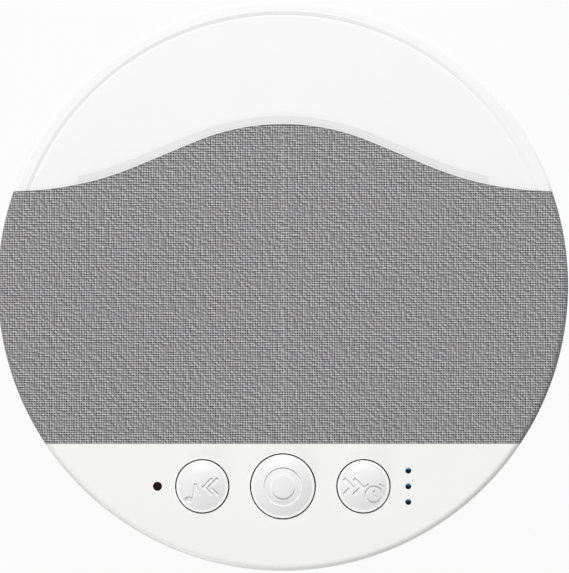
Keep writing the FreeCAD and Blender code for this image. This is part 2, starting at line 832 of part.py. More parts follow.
# Light guides for the charge lamp and the three timer lamps, with a collar under the panel.
pipe_bottom = f"({control_board_top} + lamp_chip_height + lamp_gap)"
collar_bottom = f"({panel_bottom} - flange_thickness)"
node(fuse(
    "charge_light_lens",
    cylinder("charge_rod", "charge_light_radius", pipe_bottom, "case_height", "-charge_light_x", "-button_reach"),
    cylinder("charge_collar", "charge_light_radius + light_pipe_collar", collar_bottom, panel_bottom,
             "-charge_light_x", "-button_reach"),
))
timer_rods = [
    cylinder(f"timer_rod_{step + 2}", "timer_light_radius", pipe_bottom, "case_height", "timer_light_x",
             f"{step} * timer_light_pitch - button_reach")
    for step in (-1, 0, 1)
]
timer_collar = box(
    "timer_collar",
    ("timer_light_x - timer_light_radius - light_pipe_collar",
     "timer_light_x + timer_light_radius + light_pipe_collar"),
    ("-button_reach - timer_light_pitch - timer_light_radius - light_pipe_collar",
     "-button_reach + timer_light_pitch + timer_light_radius + light_pipe_collar"),
    (collar_bottom, panel_bottom),
)
node(fuse("timer_light_lenses", *timer_rods, timer_collar))


def lamp_chip_at(name, x, y):
    half = "lamp_chip / 2"
    return box(name, (f"{x} - {half}", f"{x} + {half}"), (f"{y} - {half}", f"{y} + {half}"),
               (control_board_top, f"{control_board_top} + lamp_chip_height"))


node(lamp_chip_at("charge_lamp", "-charge_light_x", "-button_reach"))
node(group("timer_lamps", [
    lamp_chip_at(f"timer_lamp_{step + 2}", "timer_light_x", f"{step} * timer_light_pitch - button_reach")
    for step in (-1, 0, 1)
]))

# Loudspeaker frame and motor.
rim_bottom = f"({gasket_bottom} - rim_thickness)"
magnet_bottom = "(motor_bottom + yoke_thickness)"
magnet_top = f"({magnet_bottom} + magnet_thickness)"
motor_top = f"({magnet_top} + top_plate_thickness)"
gap_radius = "(coil_radius + coil_wall + coil_gap)"
shelf_rise = "(3 * rim_thickness)"
spider_seat = f"({motor_top} + {shelf_rise} + fit_gap)"
node(turned("speaker_gasket", [
    ("speaker_opening + fit_gap", gasket_bottom),
    ("speaker_opening + fit_gap + gasket_width", gasket_bottom),
    ("speaker_opening + fit_gap + gasket_width", deck_bottom),
    ("speaker_opening + fit_gap", deck_bottom),
]))
basket = turned("basket_blank", [
    (gap_radius, motor_top),
    ("basket_foot_radius", motor_top),
    (f"basket_foot_radius + {shelf_rise}", f"{motor_top} + {shelf_rise}"),
    ("rim_mouth + rim_thickness", rim_bottom),
    ("rim_radius", rim_bottom),
    ("rim_radius", gasket_bottom),
    ("rim_mouth", gasket_bottom),
    ("rim_mouth", f"{rim_bottom} + rim_thickness / 4"),
    ("spider_radius + fit_gap", f"{spider_seat} + rim_thickness"),
    ("spider_radius + fit_gap", spider_seat),
    ("basket_foot_radius + fit_gap", spider_seat),
    ("basket_foot_radius - rim_thickness", f"{motor_top} + rim_thickness"),
    (gap_radius, f"{motor_top} + rim_thickness"),
])
window_count = 6
windows = []
for count in range(window_count):
    window = box(
        f"basket_window_{count + 1}", ("basket_foot_radius", "rim_radius"), ("-basket_rib / 2", "basket_rib / 2"),
        (f"{spider_seat} + 2 * rim_thickness", f"{rim_bottom} - rim_thickness"),
    )
    turn = doc.addObject("Part::Compound", f"basket_window_place_{count + 1}")
    turn.Links = [window]
    turn.Placement.Rotation = FreeCAD.Rotation(FreeCAD.Vector(0, 0, 1), 360 / window_count * count)
    windows.append(turn)
rim_holes = at_places("rim_hole", speaker_screw_places, "small_screw_radius + screw_slack", "0", above)
node(cut("speaker_basket", basket, *windows, *rim_holes))
node(turned("speaker_yoke", [
    ("0", "motor_bottom"),
    ("magnet_radius", "motor_bottom"),
    ("magnet_radius", magnet_bottom),
    ("pole_radius", magnet_bottom),
    ("pole_radius", motor_top),
    ("0", motor_top),
]))


def ring(name, inner, outer, bottom, top):
    return turned(name, [(inner, bottom), (outer, bottom), (outer, top), (inner, top)])


node(ring("speaker_magnet", "magnet_bore", "magnet_radius", magnet_bottom, magnet_top))
node(ring("speaker_top_plate", gap_radius, "magnet_radius - rim_thickness", magnet_top, motor_top))

# Loudspeaker's moving parts: coil, cone and dust cap, carried by the surround and the spider.
coil_outer = "(coil_radius + coil_wall)"
coil_bottom = f"({motor_top} - top_plate_thickness - 1.5 * coil_gap)"
coil_top = f"({coil_bottom} + coil_length)"
node(ring("voice_coil", "coil_radius", coil_outer, coil_bottom, coil_top))
neck = f"({coil_outer} + fit_gap)"
neck_bottom = f"({coil_top} - 2 * paper_thickness)"
lip_bottom = f"({gasket_bottom} - paper_thickness)"
node(turned("speaker_cone", [
    (neck, neck_bottom),
    ("cone_radius", lip_bottom),
    ("cone_radius + cone_lip", lip_bottom),
    ("cone_radius + cone_lip", gasket_bottom),
    ("cone_radius - paper_thickness / 2", gasket_bottom),
    (neck, f"{neck_bottom} + 1.5 * paper_thickness"),
]))
cone_rise = f"(({gasket_bottom} - {neck_bottom} - 1.5 * paper_thickness) / (cone_radius - {neck}))"
cap_seat = f"({neck_bottom} + 1.5 * paper_thickness + {cone_rise} * (dust_cap_radius - {neck}) + coil_gap)"
dome = "((dust_cap_radius ^ 2 + dust_cap_rise ^ 2) / (2 * dust_cap_rise))"
node(turned("dust_cap", [
    ("0", f"{cap_seat} + dust_cap_rise - paper_thickness"),
    ("0", f"{cap_seat} + dust_cap_rise", f"-{dome}"),
    ("dust_cap_radius", cap_seat),
    ("dust_cap_radius - 2 * paper_thickness", cap_seat),
]))
roll_middle = "(cone_radius + cone_lip + roll_half_width)"
node(turned("speaker_surround", [
    ("cone_radius", gasket_bottom),
    (f"{roll_middle} - roll_half_width", gasket_bottom, "-roll_radius"),
    (f"{roll_middle} + roll_half_width", gasket_bottom),
    ("speaker_opening - fit_gap", gasket_bottom),
    ("speaker_opening - fit_gap", f"{gasket_bottom} + paper_thickness"),
    (f"{roll_middle} + roll_half_width + paper_thickness / 2", f"{gasket_bottom} + paper_thickness",
     "(roll_radius + paper_thickness)"),
    (f"{roll_middle} - roll_half_width - paper_thickness / 2", f"{gasket_bottom} + paper_thickness"),
    ("cone_radius", f"{gasket_bottom} + paper_thickness"),
]))
spider_inner = f"({coil_outer} + fit_gap)"
spider_step = f"((basket_foot_radius - {spider_inner}) / 4)"
ripple = [(f"{spider_inner} + {step} * {spider_step}", "spider_wave" if step % 2 else "0") for step in range(5)]
node(turned("speaker_spider", [
    *[(radius, f"{spider_seat} + {rise}") for radius, rise in ripple],
    ("spider_radius", spider_seat),
    ("spider_radius", f"{spider_seat} + paper_thickness"),
    *[(radius, f"{spider_seat} + {rise} + paper_thickness") for radius, rise in reversed(ripple)],
]))

# Battery: one round lithium cell with its raised positive contact.
half_cell = "(battery_length / 2)"
node(fuse(
    "battery_cell",
    along_x("cell_can", "battery_radius", f"-{half_cell}", f"{half_cell} - battery_button", "battery_reach",
            battery_axis),
    along_x("cell_button", "battery_radius / 3", "0", half_cell, "battery_reach", battery_axis),
))

# Main board on four posts, with its chips, capacitors and connectors.
main_board_top = "(main_board_height + board_thickness)"
main_board_blank = box(
    "main_board_blank", ("-main_board_x", "main_board_x"), ("-main_board_front", "-main_board_back"),
    ("main_board_height", main_board_top),
)
main_board_holes = at_places("main_board_hole", main_screw_places, "small_screw_radius + screw_slack", "0", above)
node(cut("main_board", main_board_blank, *main_board_holes))
board_middle = "((main_board_front + main_board_back) / 2)"
board_items = {
    "control_chip": ("-chip_spacing / 2", "chip_width"),
    "amplifier_chip": ("chip_spacing / 2", "amplifier_width"),
}
for name, (x, width) in board_items.items():
    node(box(
        name, (f"{x} - {width} / 2", f"{x} + {width} / 2"),
        (f"-{board_middle} - {width} / 2", f"-{board_middle} + {width} / 2"),
        (main_board_top, f"{main_board_top} + chip_height"),
    ))
capacitor_y = "(main_board_front - board_margin - capacitor_radius)"
node(group("board_capacitors", [
    cylinder(f"capacitor_{count}", "capacitor_radius", main_board_top, f"{main_board_top} + capacitor_height",
             f"{side}capacitor_x", f"-{capacitor_y}")
    for count, side in enumerate(("", "-"), 1)
]))
connector_back = "(main_board_back + board_margin)"
connector_top = f"({main_board_top} + connector_height)"
connectors = [
    box(
        f"connector_{place + 3}",
        (f"{place} * connector_pitch - connector_width / 2", f"{place} * connector_pitch + connector_width / 2"),
        (f"-{connector_back} - connector_depth", f"-{connector_back}"),
        (main_board_top, connector_top),
    )
    for place in range(-2, 3)
]
ribbon_y = "(main_board_front - board_margin - connector_depth / 2)"
connectors.append(box(
    "ribbon_connector", ("-(ribbon_width / 2 + board_margin)", "ribbon_width / 2 + board_margin"),
    (f"-{ribbon_y} - connector_depth / 2", f"-{ribbon_y} + connector_depth / 2"), (main_board_top, connector_top),
))
node(group("board_connectors", connectors))

# Charging port: a metal shell with its tongue on a small board behind the rear wall.
port_back = f"({port_mouth} - port_depth)"
port_shell = slot_prism("port_shell", "port_width", "port_height", port_back, port_mouth)
port_hollow = slot_prism(
    "port_hollow", "port_width - 2 * port_metal", "port_height - 2 * port_metal", f"{port_back} + port_metal",
    beyond,
)
node(cut("charge_port_shell", port_shell, port_hollow))
node(box(
    "charge_port_tongue", ("-tongue_width / 2", "tongue_width / 2"),
    (f"{port_back} + port_metal", f"{port_mouth} - port_inset"),
    ("port_axis_height - tongue_thickness / 2", "port_axis_height + tongue_thickness / 2"),
))
port_board_blank = box(
    "port_board_blank", ("-port_board_width / 2", "port_board_width / 2"),
    ("port_board_front", port_board_back), (port_board_bottom, port_board_top),
)
port_board_holes = at_places("port_board_hole", port_screw_places, "small_screw_radius + screw_slack", "0", above)
node(cut("charge_port_board", port_board_blank, *port_board_holes))

# Leads: red and black pairs lie side by side. Each runs to its own connector on the main board.
pair = "(lead_radius + lead_gap / 2)"
lead_level = f"({main_board_top} + connector_height / 2)"
connector_front = f"({connector_back} + connector_depth)"


def lead_pair(name, x, places):
    """Two leads that follow the same heights, one each side of a middle line."""
    return group(name, [
        tube(f"{name}_{count}", "lead_radius", [(f"{x} {side} {pair}", y, z) for y, z in places], "lead_bend")
        for count, side in enumerate("+-", 1)
    ])


terminal_y = f"({connector_front} + lead_reach)"
terminal_bottom = f"({rim_bottom} - terminal_height)"
node(box(
    "speaker_terminals", ("connector_pitch - terminal_width / 2", "connector_pitch + terminal_width / 2"),
    (f"-{terminal_y} - terminal_depth / 2", f"-{terminal_y} + terminal_depth / 2"), (terminal_bottom, rim_bottom),
))
node(lead_pair("speaker_leads", "connector_pitch", [
    (f"-{terminal_y}", terminal_bottom), (f"-{terminal_y}", lead_level), (f"-{connector_front}", lead_level),
]))
battery_top = f"({battery_axis} + battery_radius)"
node(lead_pair("charge_leads", "0", [
    ("port_board_front + board_margin + lead_radius", port_board_top),
    ("port_board_front + board_margin + lead_radius", f"{battery_top} + lead_rise"),
    ("gap_reach", f"{battery_top} + lead_rise"), ("gap_reach", lead_level), (f"-{connector_back}", lead_level),
]))
node(lead_pair("light_leads", "-connector_pitch", [
    ("light_lead_reach", "shelf_height"), ("light_lead_reach", f"{battery_top} + 2 * lead_rise"),
    ("gap_reach", f"{battery_top} + 2 * lead_rise"), ("gap_reach", lead_level), (f"-{connector_back}", lead_level),
]))
contacts = []
battery_leads = []
for count, side in enumerate(("", "-"), 1):
    ends = sorted((f"{side}{half_cell}", f"{side}({half_cell} + contact_thickness)"), key=number)
    contacts.append(box(
        f"battery_contact_{count}", ends, ("battery_reach - contact_width / 2", "battery_reach + contact_width / 2"),
        (f"{battery_axis} - contact_width / 2", f"{battery_axis} + contact_width / 2"),
    ))
    lane = f"{side}({half_cell} + contact_thickness + lead_radius)"
    low = f"({floor_top} + lead_gap + lead_radius)"
    end_x = f"{side}2 * connector_pitch"
    turn_y = f"-({connector_front} + lead_reach)"
    battery_leads.append(tube(f"battery_lead_{count}", "lead_radius", [
        (lane, "battery_reach", battery_axis), (lane, "battery_reach", low), (lane, "-main_board_back", low),
        (lane, turn_y, lead_level), (end_x, turn_y, lead_level), (end_x, f"-{connector_front}", lead_level),
    ], "lead_bend"))
node(group("battery_contacts", contacts))
node(group("battery_leads", battery_leads))
node(box(
    "control_ribbon", ("-ribbon_width / 2", "ribbon_width / 2"),
    (f"-{ribbon_y} - ribbon_thickness / 2", f"-{ribbon_y} + ribbon_thickness / 2"),
    (connector_top, "control_board_height"),
))

# Small screws for the three boards and the loudspeaker.
node(group("board_screws", [
    *small_screws("main_screw", main_screw_places, main_board_top, 1),
    *small_screws("port_screw", port_screw_places, port_board_top, 1),
    *small_screws("control_screw", control_screw_places, "control_board_height", -1),
]))
node(group("speaker_screws", small_screws("speaker_screw", speaker_screw_places, rim_bottom, -1)))

# Refuse to write anything that did not come out whole.
doc.recompute()
for item in doc.Objects:
    if {"Invalid", "Error"} & set(item.State):
        raise RuntimeError(f"{item.Name} failed: {item.State}")
for piece in nodes:
    if piece.Shape.isNull() or not piece.Shape.isValid():
        raise RuntimeError(f"{piece.Label} has no sound shape")
for piece in nodes:
    piece.Shape.exportStep(f"parts/{piece.Label}.step")
print(len(nodes), "nodes written")
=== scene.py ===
import math

import bmesh
import bpy
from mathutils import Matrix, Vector


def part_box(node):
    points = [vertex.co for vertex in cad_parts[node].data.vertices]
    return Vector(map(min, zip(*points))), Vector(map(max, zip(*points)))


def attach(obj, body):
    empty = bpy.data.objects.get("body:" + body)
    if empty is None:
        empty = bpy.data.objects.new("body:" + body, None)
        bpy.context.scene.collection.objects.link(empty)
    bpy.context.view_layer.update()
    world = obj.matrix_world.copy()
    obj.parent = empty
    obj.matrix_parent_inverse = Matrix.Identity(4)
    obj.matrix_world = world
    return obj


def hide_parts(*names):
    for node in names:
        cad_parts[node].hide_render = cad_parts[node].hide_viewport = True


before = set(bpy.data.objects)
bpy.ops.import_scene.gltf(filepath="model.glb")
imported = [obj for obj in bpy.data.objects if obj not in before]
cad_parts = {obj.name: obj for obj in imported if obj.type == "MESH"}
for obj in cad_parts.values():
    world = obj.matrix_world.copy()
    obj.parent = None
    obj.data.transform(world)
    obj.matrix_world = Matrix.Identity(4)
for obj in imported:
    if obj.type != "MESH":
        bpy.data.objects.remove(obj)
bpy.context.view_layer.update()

# Base shell: a shallow tray of white ABS with screw towers, board posts and battery saddles inside.
# It is injection moulded with a fine satin texture, and four screws pull it up against the housing.
# Its edges are the small radii that a mould leaves.
mm = 0.001
weld = 0.001 * mm
flat_turn = math.radians(0.05)
crisp_turn = math.radians(35)
base_edge = 0.25 * mm
abs_white = "#f7f7f6"
abs_shade = "#f3f3f2"
abs_index = 1.53
cloud_size = 14 * mm
gloss_spread = 0.15


def copied(node):
    """A merged copy of a CAD piece's mesh."""
    shape = bmesh.new()
    shape.from_mesh(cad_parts[node].data)
    bmesh.ops.remove_doubles(shape, verts=shape.verts, dist=weld)
    return shape


def soften(shape, width, turn=40, segments=3):
    """Join the flat faces and round every edge that turns by more than so many degrees."""
    bmesh.ops.remove_doubles(shape, verts=shape.verts, dist=weld)
    bmesh.ops.dissolve_limit(shape, angle_limit=flat_turn, verts=shape.verts, edges=shape.edges)
    sharp = [edge for edge in shape.edges if edge.is_manifold and edge.calc_face_angle() > math.radians(turn)]
    bmesh.ops.bevel(
        shape, geom=sharp, offset=width, offset_type="OFFSET", segments=segments, profile=0.5,
        affect="EDGES", material=-1, clamp_overlap=True,
    )
    return shape


def add_piece(name, shape, material, stands_for, body="housing"):
    """Turn a shape into a finished piece that stands for CAD nodes and moves with a body."""
    mesh = bpy.data.meshes.new(name)
    shape.to_mesh(mesh)
    shape.free()
    mesh.materials.append(material)
    mesh.shade_smooth()
    mesh.set_sharp_from_angle(angle=crisp_turn)
    piece = bpy.data.objects.new(name, mesh)
    bpy.context.scene.collection.objects.link(piece)
    normals = piece.modifiers.new("flat faces shade flat", "WEIGHTED_NORMAL")
    normals.keep_sharp = True
    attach(piece, body)
    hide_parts(*stands_for)
    return piece


def linear(colour):
    """Turn an sRGB hex colour into linear red, green, blue and alpha."""
    parts = [int(colour[place : place + 2], 16) / 255 for place in (1, 3, 5)]
    return [((part + 0.055) / 1.055) ** 2.4 if part > 0.04045 else part / 12.92 for part in parts] + [1]


def add(material, kind, inputs, **settings):
    """Add a shader node with its settings, and set or link its inputs."""
    node = material.node_tree.nodes.new(f"ShaderNode{kind}")
    for setting, value in settings.items():
        setattr(node, setting, value)
    for socket, value in inputs.items():
        if isinstance(value, bpy.types.NodeSocket):
            material.node_tree.links.new(value, node.inputs[socket])
        else:
            node.inputs[socket].default_value = value
    return node


def new_material(name):
    """An empty material, ready for its nodes."""
    material = bpy.data.materials.new(name)
    material.use_nodes = True
    material.node_tree.nodes.clear()
    return material


def shade(material, **sockets):
    """Close a material with its surface shader. Names of sockets are written with _ for a space."""
    inputs = {name.replace("_", " "): value for name, value in sockets.items()}
    surface = add(material, "BsdfPrincipled", inputs)
    add(material, "OutputMaterial", {"Surface": surface.outputs["BSDF"]})
    return material


def moulded(name, colour, shade_colour, roughness, grain=0.12 * mm, relief=0.004 * mm, **sockets):
    """A moulded plastic or rubber, with faint clouds of tone and the fine pits of a spark-eroded mould.

    They break up its highlights into an even satin. Real pits are about half as wide, and wouldn't show.
    Enamel, ferrite, foam and film are a little uneven in the same way, and are finished with it too.
    """
    material = new_material(name)
    place = add(material, "TexCoord", {}).outputs["Object"]
    clouds = add(material, "TexNoise", {"Vector": place, "Scale": 1 / cloud_size, "Detail": 3})
    tone = add(material, "Mix", {
        "Factor": clouds.outputs["Fac"], "A": linear(colour), "B": linear(shade_colour),
    }, data_type="RGBA")
    pits = add(material, "TexNoise", {"Vector": place, "Scale": 1 / grain, "Detail": 1})
    gloss = add(material, "MapRange", {
        "Value": pits.outputs["Fac"],
        "To Min": roughness * (1 - gloss_spread), "To Max": roughness * (1 + gloss_spread),
    })
    bump = add(material, "Bump", {"Height": pits.outputs["Fac"], "Strength": 0.5, "Distance": relief})
    return shade(
        material, Base_Color=tone.outputs["Result"], Roughness=gloss.outputs["Result"],
        Normal=bump.outputs["Normal"], **sockets,
    )


# Satin white ABS: almost matt, with a wide pale highlight on its rounded edges.
satin_abs = moulded("abs_moulded_satin_white", abs_white, abs_shade, roughness=0.42, IOR=abs_index)
add_piece(
    "base_shell_moulding", soften(copied("base_shell"), base_edge), satin_abs, ["base_shell"],
)

# Rubber feet: four discs of black rubber, glued over the heads of the case screws.
# They are pressed in a mould, with a round edge and a shallow dish that grips the table.
foot_edge = 0.5 * mm
dish_depth = 0.15 * mm
dish_edge = 1.2 * mm
foot_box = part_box("rubber_feet")
foot_radius = 6 * mm
foot_circle = 46.5 * mm
foot_angle = math.radians(30)
seam_weld = 0.0001 * mm


def rounded(corners, steps=6):
    """Points along an outline: a corner with a third number is rounded to that radius."""
    points = []
    for place, corner in enumerate(corners):
        here = Vector(corner[:2])
        if len(corner) == 2:
            points.append(here)
            continue
        back = (Vector(corners[place - 1][:2]) - here).normalized()
        ahead = (Vector(corners[(place + 1) % len(corners)][:2]) - here).normalized()
        half = back.angle(ahead) / 2
        centre = here + (back + ahead).normalized() * corner[2] / math.sin(half)
        start = (here + back * corner[2] / math.tan(half) - centre).normalized()
        end = (here + ahead * corner[2] / math.tan(half) - centre).normalized()
        points += [centre + start.slerp(end, step / steps) * corner[2] for step in range(steps + 1)]
    return points


def turned(profile, steps=192):
    """Spin a closed half section of radius and height about the upright axis."""
    shape = bmesh.new()
    section = [shape.verts.new((point[0], 0, point[1])) for point in profile]
    edges = [
        shape.edges.new((first, second))
        for first, second in zip(section, section[1:] + section[:1])
        if first.co.x > 0 or second.co.x > 0
    ]
    bmesh.ops.spin(
        shape, geom=section + edges, axis=(0, 0, 1), cent=(0, 0, 0), steps=steps, angle=math.tau,
        use_merge=True,
    )
    bmesh.ops.remove_doubles(shape, verts=shape.verts, dist=seam_weld)
    bmesh.ops.recalc_face_normals(shape, faces=shape.faces)
    return shape


def joined(shapes):
    """Several shapes that lie apart, as one."""
    whole = bmesh.new()
    for shape in shapes:
        part = bpy.data.meshes.new("part")
        shape.to_mesh(part)
        whole.from_mesh(part)
        bpy.data.meshes.remove(part)
        shape.free()
    return whole


def at(shape, x, y, z=0):
    """A shape, moved."""
    bmesh.ops.translate(shape, verts=shape.verts, vec=(x, y, z))
    return shape


foot_profile = rounded([
    (0, dish_depth), (foot_radius - dish_edge, dish_depth), (foot_radius - dish_edge + dish_depth, 0),
    (foot_radius, 0, foot_edge), (foot_radius, foot_box[1].z), (0, foot_box[1].z),
])
feet = joined(
    at(turned(foot_profile, steps=64), foot_circle * math.cos(turn), foot_circle * math.sin(turn))
    for turn in (foot_angle, math.pi - foot_angle, math.pi + foot_angle, -foot_angle)
)
# Black rubber: a deep matt grey with hardly a highlight.
foot_rubber = moulded("rubber_moulded_black", "#1d1d1d", "#262625", roughness=0.75, Specular_IOR_Level=0.3)
add_piece("rubber_feet_moulded", feet, foot_rubber, ["rubber_feet"])

# Upper housing: the control panel at the front, and the drum under cloth and cover, in one moulding.
# It is the same satin white ABS as the base. Bosses under it take the case, board and loudspeaker screws.
housing_edge = 0.2 * mm
add_piece(
    "upper_housing_moulding", soften(copied("upper_housing"), housing_edge), satin_abs, ["upper_housing"],
)

# Night light cover: opal acrylic, moulded, with a raised rim round the back and a wave along the front.
# The rim has a faint bead on its inner edge and slopes down to a fine groove round the flat face.
# A wider groove along the wave holds the light strip.
outer_radius = 60 * mm
wall = 2.2 * mm
case_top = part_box("grille_cloth")[1].z
skirt_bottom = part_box("grille_cloth")[0].z
cover_under = 43.7 * mm
rim_width = 2.8 * mm
rim_step = 0.15 * mm
rim_slope = 0.75 * mm
bead_width = 0.5 * mm
bead_round = bead_width / 4
bead_drop = 0.04 * mm
crease_width = 0.25 * mm
crease_depth = 0.1 * mm
crease_lean = 0.02 * mm
crease_round = 0.03 * mm
cover_edge = 0.8 * mm
cover_soft = 0.08 * mm
cover_turn = 50
seam_gap = 0.2 * mm
crest_reach = 33.75 * mm
trough_reach = 19.65 * mm
crown_radius = 47.2 * mm
trough_radius = 67.3 * mm
wave_swing = math.radians(22.6)
strip_inset = 0.42 * mm
strip_width = 1.2 * mm
strip_reach = 43 * mm
strip_depth = 1.2 * mm
strip_slack = 0.01 * mm
acrylic_index = 1.49
opal_depth = 2 * mm
far = 130 * mm


def wave(offset, steps=24):
    """Points along the wave between cloth and cover, left to right, moved to the rear by an offset."""
    radii = crown_radius + trough_radius
    drop = crest_reach - trough_reach - radii * (1 - math.cos(wave_swing))
    crown_centre = Vector((0, crest_reach - crown_radius))
    trough_centre = Vector((
        radii * math.sin(wave_swing) + drop / math.tan(wave_swing), trough_reach + trough_radius,
    ))
    right = []
    for step in range(steps + 1):
        swing = wave_swing * step / steps
        right.append(crown_centre + (crown_radius + offset) * Vector((math.sin(swing), math.cos(swing))))
    for step in range(steps, -1, -1):
        swing = wave_swing * step / steps
        right.append(trough_centre - (trough_radius - offset) * Vector((math.sin(swing), math.cos(swing))))
    left = [Vector((-point.x, point.y)) for point in reversed(right[1:])]
    return left + right


def prism(outline, bottom, top):
    """An upright block over an outline."""
    shape = bmesh.new()
    floor = shape.faces.new([shape.verts.new((point[0], point[1], bottom)) for point in outline])
    lid = bmesh.ops.extrude_face_region(shape, geom=[floor])
    raised = [item for item in lid["geom"] if isinstance(item, bmesh.types.BMVert)]
    bmesh.ops.translate(shape, verts=raised, vec=(0, 0, top - bottom))
    bmesh.ops.recalc_face_normals(shape, faces=shape.faces)
    return shape


def fitted(operation, blank, *tools):
    """Cut tools from a blank, join them to it, or keep what they share: DIFFERENCE, UNION or INTERSECT."""
    helpers = []
    for shape in (blank, *tools):
        mesh = bpy.data.meshes.new("helper")
        shape.to_mesh(mesh)
        shape.free()
        helpers.append(bpy.data.objects.new("helper", mesh))
        bpy.context.scene.collection.objects.link(helpers[-1])
    for helper in helpers[1:]:
        fit = helpers[0].modifiers.new("fit", "BOOLEAN")
        fit.operation = operation
        fit.solver = "EXACT"
        fit.object = helper
    result = bmesh.new()
    result.from_object(helpers[0], bpy.context.evaluated_depsgraph_get())
    for helper in helpers:
        bpy.data.meshes.remove(helper.data)
    return result


def behind_wave(offset, bottom, top):
    """The space to the rear of the wave, moved to the rear by an offset."""
    outline = wave(offset)
    level = outline[-1].y
    return prism([(-far, level), *outline, (far, level), (far, far), (-far, far)], bottom, top)


def strip_band(slack, bottom, top):
    """The space of the light strip along the wave, made wider all round by some slack."""
    near = seam_gap / 2 + strip_inset - slack
    reach = strip_reach + slack
    front = [point for point in wave(near) if abs(point.x) < reach]
    rear = [point for point in wave(near + strip_width + 2 * slack) if abs(point.x) < reach]
    ends = [Vector((side * reach, edge.y)) for edge in (front[-1], rear[-1]) for side in (1, -1)]
    outline = [ends[1], *front, ends[0], ends[2], *reversed(rear), ends[3]]
    return prism(outline, bottom, top)


face_height = case_top - rim_step
slope_foot = outer_radius - rim_width - rim_slope / 2
slope_top = slope_foot + rim_slope
cover_profile = rounded([
    (0, cover_under), (outer_radius - wall, cover_under), (outer_radius - wall, skirt_bottom),
    (outer_radius, skirt_bottom), (outer_radius, case_top - bead_drop, cover_edge),
    (slope_top + bead_width, case_top - bead_drop), (slope_top, case_top, bead_round),
    (slope_foot, face_height - crease_depth, crease_round),
    (slope_foot - crease_width, face_height - crease_depth, crease_round),
    (slope_foot - crease_width - crease_lean, face_height, crease_round), (0, face_height),
])
cover = fitted("INTERSECT", turned(cover_profile), behind_wave(seam_gap / 2, 0, far))
cover = soften(cover, cover_soft, turn=cover_turn)
cover = fitted("DIFFERENCE", cover, strip_band(strip_slack, face_height - strip_depth, far))

# Opal acrylic: smoother than the case, and milky, as light goes a little way into it.
opal_acrylic = moulded(
    "acrylic_moulded_opal", "#f5f5f5", "#f2f2f2", roughness=0.34, grain=0.4 * mm, relief=0.001 * mm,
    IOR=acrylic_index, Subsurface_Weight=0.15, Subsurface_Radius=[opal_depth] * 3, Subsurface_Scale=1,
)
add_piece("night_light_cover", cover, opal_acrylic, ["night_light_lens"])

# Light strip: a narrow bar of frosted acrylic with square ends, pressed into the cover's groove.
# The frosting makes it matt, and its grey, darker than the cover round it, is painted shade.
strip_edge = 0.02 * mm
strip = soften(strip_band(0, face_height - strip_depth + strip_slack, face_height), strip_edge)
# Its grey tone is painted shade along the wave.
strip_acrylic_painted_shade = moulded(
    "acrylic_frosted_painted_shade", "#e6e6e6", "#e2e2e2", roughness=0.6, grain=0.2 * mm, relief=0.004 * mm,
    IOR=acrylic_index,
)
add_piece("night_light_strip_bar", strip, strip_acrylic_painted_shade, ["night_light_strip"])

# Cover cloth: a plain weave of grey polyester, two threads to the millimetre, glued over the grille plate.
# It is pulled down over both sides, and its edges are turned in along the wave and the panel.
# Between the threads are small dark holes, each thread is painted darker towards its edges as painted shade,
# and a faint line of lighter stitches runs down the middle.
cloth_thickness = 0.65 * mm
cloth_round = 1.5 * mm
cloth_turn = 50
tuck_gap = 0.05 * mm
hem_round = 0.45 * mm
warp_pitch = 0.52 * mm
weft_pitch = 0.495 * mm
thread_wander = 2 * mm
thread_sway = 0.16 * mm
stitch_length = 0.8 * mm
thread_relief = 0.06 * mm
weft_share = 1.1
warp_share = 0.85
pore_start = 0.14
pore_sizes = (0.55, 0.9)
yarn_tones = (0.62, 1.12)
stitch_core = 0.3
stitch_end = 0.7
stitch_cover = 0.75
stitch_gain = 0.6
stitch_low = 0.2
panel_reach = 33.2 * mm
cloth_light = "#c0bfc0"
cloth_dark = "#272627"
seam_light = "#c8c8c8"
cloth_profile = rounded([
    (0, case_top - cloth_thickness),
    (outer_radius - cloth_thickness, case_top - cloth_thickness, cloth_round - cloth_thickness),
    (outer_radius - cloth_thickness, skirt_bottom), (outer_radius, skirt_bottom),
    (outer_radius, case_top, cloth_round), (0, case_top),
])
rear = wave(seam_gap / 2 - 2 * tuck_gap)
front = -panel_reach + tuck_gap
band = prism(
    [(-far, rear[0].y), *rear, (far, rear[-1].y), (far, front), (-far, front)], 0, far,
)
cloth = soften(fitted("INTERSECT", turned(cloth_profile), band), hem_round, turn=cloth_turn)
lengths = cloth.loops.layers.uv.new("threads")
shoulder = outer_radius - cloth_round
for face in cloth.faces:
    for loop in face.loops:
        spot = loop.vert.co
        reach = spot.xy.length
        if reach <= shoulder:
            beyond = 0
        elif spot.z > case_top - cloth_round:
            lean = math.atan2(reach - shoulder, spot.z - (case_top - cloth_round))
            beyond = shoulder + cloth_round * lean - reach
        else:
            beyond = shoulder + cloth_round * math.pi / 2 + case_top - cloth_round - spot.z - reach
        loop[lengths].uv = (spot.x + math.copysign(beyond, spot.x), spot.y)


def calculate(material, operation, first, second=0.0, third=0.0):
    """One step of sums between values or sockets."""
    return add(material, "Math", {0: first, 1: second, 2: third}, operation=operation).outputs["Value"]


def ramp(material, value, low, high, start=0.0, end=1.0):
    """A soft change from start to end while a value goes from low to high."""
    return add(material, "MapRange", {
        "Value": value, "From Min": low, "From Max": high, "To Min": start, "To Max": end,
    }, interpolation_type="SMOOTHSTEP").outputs["Result"]


